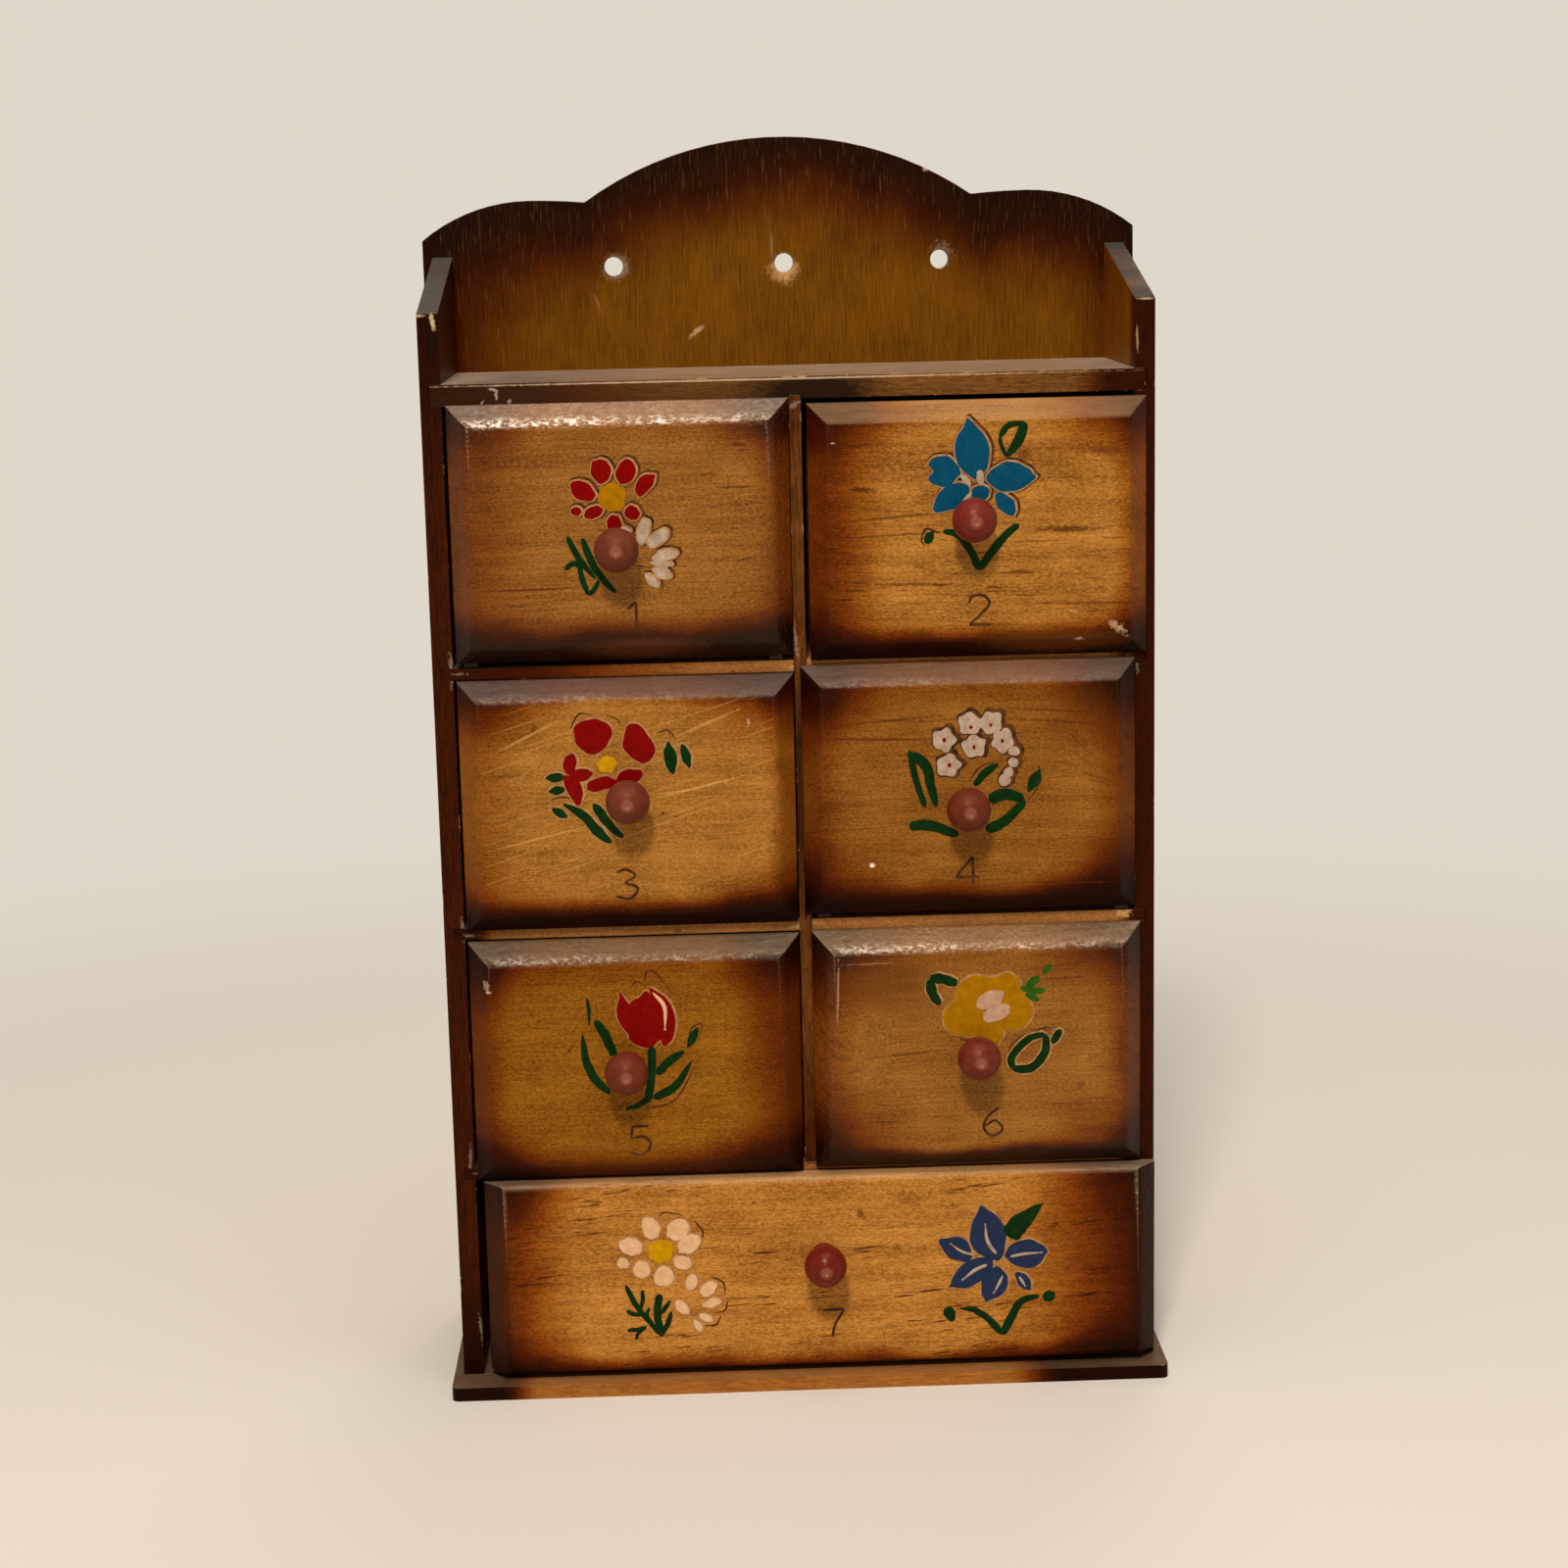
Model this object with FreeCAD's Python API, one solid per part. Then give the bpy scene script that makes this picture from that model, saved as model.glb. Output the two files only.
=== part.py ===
import FreeCAD, Part
import math
import os

# A small wooden sewing cabinet that stands on a table or hangs on a wall.
# Millimetres. X runs to the right, Y runs from the front to the back, Z runs up.
# The origin is on the underside of the base board, at mid-width of the case and
# in the plane of the case's front edges, where the drawer fronts stop.

os.makedirs("parts", exist_ok=True)

# ---- Case boards ----
CASE_WIDTH = 178.0             # outside of the left side to outside of the right side
CASE_DEPTH = 53.3              # front edges of the sides to the back panel
SIDE_THICKNESS = 5.1
SHELF_THICKNESS = 5.5          # top shelf
RAIL_THICKNESS = 3.1           # the three thin shelves between the rows of drawers
DIVIDER_THICKNESS = 3.1
DIVIDER_OFFSET = 1.35          # the divider stands this far to the right of mid-width
BACK_THICKNESS = 4.8
BASE_THICKNESS = 3.5
OVERHANG = 2.5                 # back panel and base board past each side
BASE_LIP = 9.3                 # how far the base stands ahead of the case
BASE_CORNER_RADIUS = 1.8
HOUSING_DEPTH = 2.8            # how deep the shelves are let into the sides
DIVIDER_HOUSING = 1.0          # how deep the divider's ends are let in

# ---- Clear heights between the shelves, from the base board up ----
BOTTOM_OPENING = 52.2
LOWER_OPENING = 59.5
MIDDLE_OPENING = 62.5
UPPER_OPENING = 63.7

# ---- Outline above the top shelf ----
SIDE_FRONT_RISE = 16.8         # side's front corner above the shelf's top face
SIDE_BACK_RISE = 29.4          # side's back corner above the shelf's top face
SHOULDER_RISE = 43.2           # highest point of each shoulder above the shelf
SHOULDER_X = 64.0              # where that highest point is
SHOULDER_DROP = 9.6            # from there down to the panel's outer corner
NOTCH_X = 49.6                 # where shoulder and crest meet
NOTCH_DROP = 0.7               # from the shoulder's highest point down to the notch
CREST_RISE = 15.4              # crest above the notches

# ---- Hanging holes through the back panel ----
HANGING_HOLE_RADIUS = 2.4
HANGING_HOLE_RISE = 26.1       # above the shelf's top face
LEFT_HOLE_X = -42.7
CENTRE_HOLE_X = 1.2
RIGHT_HOLE_X = 41.4

# ---- Nails that hold the back and the base ----
NAIL_RADIUS = 0.6
NAIL_LENGTH = 14.0
NAIL_HEAD_RADIUS = 1.1
NAIL_HEAD_THICKNESS = 0.6
NAIL_HOLE_CLEARANCE = 0.03
SHELF_NAIL_X = 52.0            # outer pair of the three nails into the top shelf
BASE_NAIL_MARGIN = 9.0         # first and last base nail from the side's ends

# ---- Drawer fronts ----
FRONT_THICKNESS = 6.2
FRONT_EDGE = 1.4               # square edge left behind the bevel
BEVEL_WIDTH = 4.7
SMALL_FRONT_COVER = 0.8        # past each side of the narrower column
WIDE_FRONT_COVER = 1.5         # past each side of the full-width opening
UPPER_FRONT_SHORTFALL = 0.9    # how much lower than their openings these fronts are
WIDE_FRONT_SHORTFALL = 2.0
MIDDLE_FRONT_COVER = 0.3       # how much higher than their openings these fronts are
LOWER_FRONT_COVER = 2.3

# ---- Drawer boxes ----
SMALL_BOX_PLAY = 1.5           # each side of a small box in its narrower opening
WIDE_BOX_PLAY = 3.0            # each side of the wide box
BOX_HEADROOM = 2.5             # above the walls in the lowest opening of their size
RUNNING_GAP = 0.3              # under the walls
BACK_GAP = 2.8                 # behind the box when the drawer is shut
WALL_THICKNESS = 3.2
BOTTOM_THICKNESS = 2.0
BOTTOM_RAISE = 2.5             # walls stand this far below the bottom's underside
GROOVE_DEPTH = 1.5             # how deep the bottom is let into walls and front
GROOVE_CLEARANCE = 0.05

# ---- Knobs and their screws ----
KNOB_RADIUS = 5.4
KNOB_REACH = 13.0              # tip of the knob ahead of the drawer front
KNOB_NECK_RADIUS = 3.1
KNOB_DIMPLE_RADIUS = 0.9       # lathe mark at the tip
KNOB_DIMPLE_DEPTH = 0.35
SCREW_RADIUS = 1.3
SCREW_LENGTH = 12.4
SCREW_HEAD_RADIUS = 2.8
SCREW_HEAD_HEIGHT = 1.6
SCREW_SLOT_WIDTH = 0.7
SCREW_SLOT_DEPTH = 0.7
SCREW_HOLE_CLEARANCE = 0.04

# ---- Worked out from the sizes above ----
half_case = CASE_WIDTH / 2
half_overall = half_case + OVERHANG
inner_half = half_case - SIDE_THICKNESS
housed_half = inner_half + HOUSING_DEPTH
divider_left = DIVIDER_OFFSET - DIVIDER_THICKNESS / 2
divider_right = DIVIDER_OFFSET + DIVIDER_THICKNESS / 2
back_face = CASE_DEPTH + BACK_THICKNESS
half_lap = CASE_DEPTH / 2

base_top = BASE_THICKNESS
lower_rail = base_top + BOTTOM_OPENING
lower_floor = lower_rail + RAIL_THICKNESS
middle_rail = lower_floor + LOWER_OPENING
middle_floor = middle_rail + RAIL_THICKNESS
upper_rail = middle_floor + MIDDLE_OPENING
upper_floor = upper_rail + RAIL_THICKNESS
shelf_under = upper_floor + UPPER_OPENING
shelf_top = shelf_under + SHELF_THICKNESS
side_front_top = shelf_top + SIDE_FRONT_RISE
side_back_top = shelf_top + SIDE_BACK_RISE
shoulder_top = shelf_top + SHOULDER_RISE
hanging_hole_z = shelf_top + HANGING_HOLE_RISE

left_opening = (-inner_half, divider_left)
right_opening = (divider_right, inner_half)
full_opening = (-inner_half, inner_half)
narrow_opening = min(divider_left + inner_half, inner_half - divider_right)
small_box_width = narrow_opening - 2 * SMALL_BOX_PLAY
wide_box_width = 2 * (inner_half - WIDE_BOX_PLAY)
small_box_height = min(LOWER_OPENING, MIDDLE_OPENING, UPPER_OPENING) - BOX_HEADROOM
wide_box_height = BOTTOM_OPENING - BOX_HEADROOM
box_depth = CASE_DEPTH - BACK_GAP
small_front_width = narrow_opening + 2 * SMALL_FRONT_COVER
wide_front_width = 2 * (inner_half + WIDE_FRONT_COVER)


def vector(x, y, z):
    return FreeCAD.Vector(x, y, z)


def box(x_range, y_range, z_range):
    """A block between two X values, two Y values and two Z values."""
    size = [high - low for low, high in (x_range, y_range, z_range)]
    return Part.makeBox(*size, vector(x_range[0], y_range[0], z_range[0]))


def drilled(radius, start, direction, length):
    """A round rod or the space of a round hole."""
    return Part.makeCylinder(radius, length, start, direction)


def turned(profile, centre, direction):
    """Turn a closed profile of (radius, distance) points about an axis.

    An entry that holds two points is an arc through the first to the second.
    """
    edges = []
    here = profile[0]
    for step in profile[1:]:
        if isinstance(step[0], tuple):
            middle, end = step
            edges.append(Part.Arc(vector(here[0], 0, here[1]), vector(middle[0], 0, middle[1]),
                                  vector(end[0], 0, end[1])).toShape())
            here = end
        else:
            edges.append(Part.makeLine(vector(here[0], 0, here[1]), vector(step[0], 0, step[1])))
            here = step
    solid = Part.Face(Part.Wire(edges)).revolve(vector(0, 0, 0), vector(0, 0, 1), 360)
    solid.Placement = FreeCAD.Placement(centre, FreeCAD.Rotation(vector(0, 0, 1), direction))
    return solid


def save(name, shape):
    """Write one node as its own STEP file."""
    shape.exportStep("parts/" + name + ".step")


# ---- Nails ----

def nail(tip_direction, head_centre):
    """A flat-headed nail whose head lies flush with the board it goes through."""
    profile = [(0, 0), (NAIL_HEAD_RADIUS, 0), (NAIL_HEAD_RADIUS, NAIL_HEAD_THICKNESS),
               (NAIL_RADIUS, NAIL_HEAD_THICKNESS), (NAIL_RADIUS, NAIL_LENGTH - 2 * NAIL_RADIUS),
               (0, NAIL_LENGTH), (0, 0)]
    return turned(profile, head_centre, tip_direction)


def nail_hole(tip_direction, head_centre):
    """The space that one nail takes, with its clearance."""
    shank = drilled(NAIL_RADIUS + NAIL_HOLE_CLEARANCE, head_centre, tip_direction,
                    NAIL_LENGTH + NAIL_HOLE_CLEARANCE)
    head = drilled(NAIL_HEAD_RADIUS + NAIL_HOLE_CLEARANCE, head_centre, tip_direction,
                   NAIL_HEAD_THICKNESS)
    return shank.fuse(head)


side_centres = (-half_case + SIDE_THICKNESS / 2, half_case - SIDE_THICKNESS / 2)
opening_middles = [(base_top + lower_rail) / 2, (lower_floor + middle_rail) / 2,
                   (middle_floor + upper_rail) / 2, (upper_floor + shelf_under) / 2,
                   (shelf_top + side_back_top) / 2]
back_nail_heads = [vector(x, back_face, z) for x in side_centres for z in opening_middles]
back_nail_heads += [vector(x, back_face, (shelf_under + shelf_top) / 2)
                    for x in (-SHELF_NAIL_X, 0, SHELF_NAIL_X)]
base_nail_heads = [vector(x, y, 0) for x in side_centres
                   for y in (BASE_NAIL_MARGIN, CASE_DEPTH / 2, CASE_DEPTH - BASE_NAIL_MARGIN)]
FORWARD = vector(0, -1, 0)
UP = vector(0, 0, 1)
back_nail_holes = Part.makeCompound([nail_hole(FORWARD, head) for head in back_nail_heads])
base_nail_holes = Part.makeCompound([nail_hole(UP, head) for head in base_nail_heads])


# ---- Case ----

shelf_levels = [(lower_rail, RAIL_THICKNESS), (middle_rail, RAIL_THICKNESS),
                (upper_rail, RAIL_THICKNESS), (shelf_under, SHELF_THICKNESS)]


def side_board(outer_x, inner_x):
    """One side: square at the bottom, sloping up to the back panel at the top."""
    outline = [vector(outer_x, 0, base_top), vector(outer_x, CASE_DEPTH, base_top),
               vector(outer_x, CASE_DEPTH, side_back_top), vector(outer_x, 0, side_front_top)]
    face = Part.Face(Part.makePolygon(outline + outline[:1]))
    board = face.extrude(vector(inner_x - outer_x, 0, 0))
    housed_x = inner_x - math.copysign(HOUSING_DEPTH, inner_x - outer_x)
    x_range = tuple(sorted((inner_x, housed_x)))
    for underside, thickness in shelf_levels:
        board = board.cut(box(x_range, (0, CASE_DEPTH), (underside, underside + thickness)))
    return board.cut(back_nail_holes).cut(base_nail_holes)


def housed_shelf(underside, thickness):
    """A shelf whose two ends are let into the sides."""
    return box((-housed_half, housed_half), (0, CASE_DEPTH), (underside, underside + thickness))


def lapped_rail(underside):
    """A thin shelf, slotted from the front where the divider crosses it."""
    slot = box((divider_left, divider_right), (0, half_lap),
               (underside, underside + RAIL_THICKNESS))
    return housed_shelf(underside, RAIL_THICKNESS).cut(slot)


def centre_divider():
    """The upright board, slotted from the back where the thin shelves cross it."""
    board = box((divider_left, divider_right), (0, CASE_DEPTH),
                (lower_floor - DIVIDER_HOUSING, shelf_under + DIVIDER_HOUSING))
    for underside in (middle_rail, upper_rail):
        board = board.cut(box((divider_left, divider_right), (half_lap, CASE_DEPTH),
                              (underside, underside + RAIL_THICKNESS)))
    return board


def height_on_arc(peak_z, half_span, drop, distance):
    """Height of an arc that is level at its peak, at a distance along from the peak."""
    radius = (half_span ** 2 + drop ** 2) / (2 * drop)
    return peak_z - radius + math.sqrt(radius ** 2 - distance ** 2)


def back_panel():
    """Full-height board with two shoulders and a raised crest."""
    notch_z = shoulder_top - NOTCH_DROP
    round_span = half_overall - SHOULDER_X
    flat_span = SHOULDER_X - NOTCH_X
    corner_z = shoulder_top - SHOULDER_DROP

    def point(x, z):
        return vector(x, CASE_DEPTH, z)

    def shoulder(side):
        """Arcs from the outer corner to the shoulder's top and on to the notch."""
        corner = point(side * half_overall, corner_z)
        top = point(side * SHOULDER_X, shoulder_top)
        notch = point(side * NOTCH_X, notch_z)
        rounded = point(side * (SHOULDER_X + round_span / 2),
                        height_on_arc(shoulder_top, round_span, SHOULDER_DROP, round_span / 2))
        flat = point(side * (SHOULDER_X - flat_span / 2),
                     height_on_arc(shoulder_top, flat_span, NOTCH_DROP, flat_span / 2))
        return [Part.Arc(corner, rounded, top).toShape(), Part.Arc(top, flat, notch).toShape()]

    crest = Part.Arc(point(-NOTCH_X, notch_z), point(0, notch_z + CREST_RISE),
                     point(NOTCH_X, notch_z)).toShape()
    foot_left, foot_right = point(-half_overall, base_top), point(half_overall, base_top)
    straight = [Part.makeLine(foot_left, point(-half_overall, corner_z)),
                Part.makeLine(foot_right, point(half_overall, corner_z)),
                Part.makeLine(foot_left, foot_right)]
    edges = Part.__sortEdges__(shoulder(-1) + [crest] + shoulder(1) + straight)
    panel = Part.Face(Part.Wire(edges)).extrude(vector(0, BACK_THICKNESS, 0))
    for x in (LEFT_HOLE_X, CENTRE_HOLE_X, RIGHT_HOLE_X):
        panel = panel.cut(drilled(HANGING_HOLE_RADIUS, point(x, hanging_hole_z),
                                  vector(0, 1, 0), BACK_THICKNESS))
    return panel.cut(back_nail_holes)


def base_board():
    """The board that everything stands on, a little wider and deeper than the case."""
    board = box((-half_overall, half_overall), (-BASE_LIP, back_face), (0, BASE_THICKNESS))
    upright = [edge for edge in board.Edges
               if abs(edge.Vertexes[0].Z - edge.Vertexes[1].Z) > BASE_THICKNESS / 2]
    return board.makeFillet(BASE_CORNER_RADIUS, upright).cut(base_nail_holes)


lower_shelf = housed_shelf(lower_rail, RAIL_THICKNESS).cut(
    box((divider_left, divider_right), (0, CASE_DEPTH),
        (lower_floor - DIVIDER_HOUSING, lower_floor)))
top_shelf = housed_shelf(shelf_under, SHELF_THICKNESS).cut(
    box((divider_left, divider_right), (0, CASE_DEPTH),
        (shelf_under, shelf_under + DIVIDER_HOUSING)))

save("left_side", side_board(-half_case, -inner_half))
save("right_side", side_board(half_case, inner_half))
save("top_shelf", top_shelf.cut(back_nail_holes))
save("upper_row_shelf", lapped_rail(upper_rail))
save("middle_row_shelf", lapped_rail(middle_rail))
save("lower_row_shelf", lower_shelf)
save("centre_divider", centre_divider())
save("back_panel", back_panel())
save("base_board", base_board())
save("back_nails", Part.makeCompound([nail(FORWARD, head) for head in back_nail_heads]))
save("base_nails", Part.makeCompound([nail(UP, head) for head in base_nail_heads]))


# ---- Drawers ----

class Drawer:
    """One drawer: where it runs, how its front sits on it and where its knob is.

    The fronts were fixed by hand, so each is off its box's centre by its own
    amount, and each knob is off the front's centre by its own amount.
    """

    def __init__(self, name, opening, floor, front_size, front_shift, front_lift, knob_shift):
        self.name = name
        self.wide = opening is full_opening
        self.floor = floor
        self.middle_x = (opening[0] + opening[1]) / 2
        self.front_width, self.front_height = front_size
        self.front_x = self.middle_x + front_shift
        self.front_z = floor + front_lift
        self.knob_x = self.front_x + knob_shift[0]
        self.knob_z = self.front_z + self.front_height / 2 + knob_shift[1]
        self.box_width = wide_box_width if self.wide else small_box_width
        self.box_height = wide_box_height if self.wide else small_box_height

    def box_x(self, inset=0.0):
        """Left and right of the box, or of its inside when inset by the walls."""
        half = self.box_width / 2 - inset
        return (self.middle_x - half, self.middle_x + half)

    def wall_z(self):
        foot = self.floor + RUNNING_GAP
        return (foot, foot + self.box_height)

    def groove(self):
        """The space of the groove that takes the bottom, all round."""
        under = self.floor + RUNNING_GAP + BOTTOM_RAISE
        return box(self.box_x(WALL_THICKNESS - GROOVE_DEPTH),
                   (-GROOVE_DEPTH, box_depth - WALL_THICKNESS + GROOVE_DEPTH),
                   (under - GROOVE_CLEARANCE, under + BOTTOM_THICKNESS + GROOVE_CLEARANCE))

    def bottom(self):
        """Thin bottom, a little loose in its groove all round."""
        under = self.floor + RUNNING_GAP + BOTTOM_RAISE
        reach = WALL_THICKNESS - GROOVE_DEPTH + GROOVE_CLEARANCE
        return box(self.box_x(reach), (GROOVE_CLEARANCE - GROOVE_DEPTH, box_depth - reach),
                   (under, under + BOTTOM_THICKNESS))

    def side_wall(self, side):
        """A side wall runs from the drawer's front to the back of the box."""
        left, right = self.box_x()
        x_range = (left, left + WALL_THICKNESS) if side < 0 else (right - WALL_THICKNESS, right)
        return box(x_range, (0, box_depth), self.wall_z()).cut(self.groove())

    def back_wall(self):
        """The back wall stands between the side walls."""
        return box(self.box_x(WALL_THICKNESS), (box_depth - WALL_THICKNESS, box_depth),
                   self.wall_z()).cut(self.groove())

    def front(self):
        """Overlaid front: a square edge, then a bevel up to the flat face."""
        half = self.front_width / 2
        x_range = (self.front_x - half, self.front_x + half)
        z_range = (self.front_z, self.front_z + self.front_height)
        board = box(x_range, (-FRONT_EDGE, 0), z_range)
        end_inset = BEVEL_WIDTH
        rim_inset = 0.0 if self.wide else BEVEL_WIDTH
        raised = Part.makeLoft([
            rectangle(x_range, z_range, -FRONT_EDGE, 0.0, 0.0),
            rectangle(x_range, z_range, -FRONT_THICKNESS, end_inset, rim_inset)], True)
        board = board.fuse(raised).removeSplitter()
        return board.cut(self.groove()).cut(screw_hole(self.screw_centre()))

    def screw_centre(self):
        """Middle of the screw's head, flush with the rear face of the front."""
        return vector(self.knob_x, 0, self.knob_z)

    def knob(self):
        """Turned ball on a short neck, with a blind hole for its screw."""
        ball_centre = KNOB_REACH - KNOB_RADIUS
        neck = ball_centre - math.sqrt(KNOB_RADIUS ** 2 - KNOB_NECK_RADIUS ** 2)
        rim = ball_centre + math.sqrt(KNOB_RADIUS ** 2 - KNOB_DIMPLE_RADIUS ** 2)
        profile = [(0, 0), (KNOB_NECK_RADIUS, 0), (KNOB_NECK_RADIUS, neck),
                   ((KNOB_RADIUS, ball_centre), (KNOB_DIMPLE_RADIUS, rim)),
                   (0, rim - KNOB_DIMPLE_DEPTH), (0, 0)]
        ball = turned(profile, vector(self.knob_x, -FRONT_THICKNESS, self.knob_z), FORWARD)
        return ball.cut(screw_hole(self.screw_centre()))

    def screw(self):
        """Slotted countersunk screw from inside the drawer into the knob."""
        profile = [(0, 0), (SCREW_HEAD_RADIUS, 0), (SCREW_RADIUS, SCREW_HEAD_HEIGHT),
                   (SCREW_RADIUS, SCREW_LENGTH - SCREW_RADIUS), (0, SCREW_LENGTH), (0, 0)]
        body = turned(profile, self.screw_centre(), FORWARD)
        half_slot = SCREW_SLOT_WIDTH / 2
        slot = box((self.knob_x - half_slot, self.knob_x + half_slot), (-SCREW_SLOT_DEPTH, 0),
                   (self.knob_z - SCREW_HEAD_RADIUS, self.knob_z + SCREW_HEAD_RADIUS))
        return body.cut(slot)

    def save_all(self):
        save(self.name + "_drawer_front", self.front())
        save(self.name + "_drawer_left_wall", self.side_wall(-1))
        save(self.name + "_drawer_right_wall", self.side_wall(1))
        save(self.name + "_drawer_back_wall", self.back_wall())
        save(self.name + "_drawer_bottom", self.bottom())
        save(self.name + "_drawer_knob", self.knob())
        save(self.name + "_drawer_knob_screw", self.screw())


def rectangle(x_range, z_range, y, end_inset, rim_inset):
    """An upright rectangle, drawn in at its ends and at its top and bottom."""
    left, right = x_range[0] + end_inset, x_range[1] - end_inset
    low, high = z_range[0] + rim_inset, z_range[1] - rim_inset
    corners = [vector(left, y, low), vector(right, y, low),
               vector(right, y, high), vector(left, y, high)]
    return Part.makePolygon(corners + corners[:1])


def screw_hole(centre):
    """The space of a countersunk screw with its clearance."""
    head = SCREW_HEAD_RADIUS + SCREW_HOLE_CLEARANCE
    shank = SCREW_RADIUS + SCREW_HOLE_CLEARANCE
    end = SCREW_LENGTH + SCREW_HOLE_CLEARANCE
    profile = [(0, 0), (head, 0), (shank, SCREW_HEAD_HEIGHT), (shank, end), (0, end), (0, 0)]
    return turned(profile, centre, FORWARD)


upper_front = (small_front_width, UPPER_OPENING - UPPER_FRONT_SHORTFALL)
middle_front = (small_front_width, MIDDLE_OPENING + MIDDLE_FRONT_COVER)
lower_front = (small_front_width, LOWER_OPENING + LOWER_FRONT_COVER)
wide_front = (wide_front_width, BOTTOM_OPENING - WIDE_FRONT_SHORTFALL)

drawers = [
    Drawer("upper_left", left_opening, upper_floor, upper_front,
           front_shift=0.4, front_lift=1.3, knob_shift=(-0.9, -3.1)),
    Drawer("upper_right", right_opening, upper_floor, upper_front,
           front_shift=1.9, front_lift=-0.2, knob_shift=(-1.9, 3.4)),
    Drawer("middle_left", left_opening, middle_floor, middle_front,
           front_shift=0.2, front_lift=-0.4, knob_shift=(0.0, 2.7)),
    Drawer("middle_right", right_opening, middle_floor, middle_front,
           front_shift=-0.8, front_lift=1.3, knob_shift=(-1.3, -3.3)),
    Drawer("lower_left", left_opening, lower_floor, lower_front,
           front_shift=0.2, front_lift=-2.6, knob_shift=(-2.5, -0.4)),
    Drawer("lower_right", right_opening, lower_floor, lower_front,
           front_shift=0.6, front_lift=-2.1, knob_shift=(-0.7, 0.1)),
    Drawer("wide", full_opening, base_top, wide_front,
           front_shift=3.6, front_lift=1.9, knob_shift=(0.4, 4.2)),
]

for drawer in drawers:
    drawer.save_all()
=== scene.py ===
"""A small sewing cabinet of stained softwood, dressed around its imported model.

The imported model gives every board, drawer box, knob and screw its size and place.  This
script softens the boards' arrises, turns the knobs, paints the flowers and numbers on
the drawer fronts, and gives each part its finish.  The mesh is in metres; names that
end in _MM, and every size inside a finish or an ornament, are millimetres.
"""
import logging
import math
from dataclasses import dataclass, field, replace
from enum import Enum
from typing import Sequence

import bmesh
import bpy
from mathutils import Matrix, Vector, noise


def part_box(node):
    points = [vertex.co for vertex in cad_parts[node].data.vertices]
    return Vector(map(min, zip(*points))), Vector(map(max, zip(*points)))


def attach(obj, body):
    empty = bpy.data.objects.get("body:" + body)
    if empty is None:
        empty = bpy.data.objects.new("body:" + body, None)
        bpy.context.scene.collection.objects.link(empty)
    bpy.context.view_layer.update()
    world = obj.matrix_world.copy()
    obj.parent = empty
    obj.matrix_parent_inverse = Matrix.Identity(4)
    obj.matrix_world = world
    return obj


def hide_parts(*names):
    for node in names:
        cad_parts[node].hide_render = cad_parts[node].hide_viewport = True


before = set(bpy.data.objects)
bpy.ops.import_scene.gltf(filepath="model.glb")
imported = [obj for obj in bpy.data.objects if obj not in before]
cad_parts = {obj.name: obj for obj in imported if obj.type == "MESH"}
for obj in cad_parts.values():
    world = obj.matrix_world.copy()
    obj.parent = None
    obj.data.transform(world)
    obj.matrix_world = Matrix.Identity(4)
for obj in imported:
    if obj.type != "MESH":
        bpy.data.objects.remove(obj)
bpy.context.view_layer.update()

MM = 0.001                      # one millimetre in scene units
WELD = 1e-6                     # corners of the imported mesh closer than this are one
FLAT_ANGLE = math.radians(0.2)  # faces that differ by less are one flat face
SHARP_ANGLE = math.radians(30)

log = logging.getLogger("sewing_cabinet")


def srgb(code: str) -> tuple[float, float, float, float]:
    """Turn an sRGB hex colour into linear RGBA.

    Args:
        code: The colour as #rrggbb.

    Returns:
        Red, green, blue and an alpha of 1, ready for a shader socket.
    """
    channels = [int(code[i:i + 2], 16) / 255 for i in (1, 3, 5)]
    linear = [c / 12.92 if c <= 0.04045 else ((c + 0.055) / 1.055) ** 2.4 for c in channels]
    return (linear[0], linear[1], linear[2], 1.0)


# ---- Drawing up a material --------------------------------------------------------------

Value = bpy.types.NodeSocket | float | Sequence[float] | str   # a colour may be #rrggbb

# the setting that a word after a node's kind is for; with any other kind it is the operation
CHOICES = {"MapRange": "interpolation_type", "MixRGB": "blend_type"}


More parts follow.
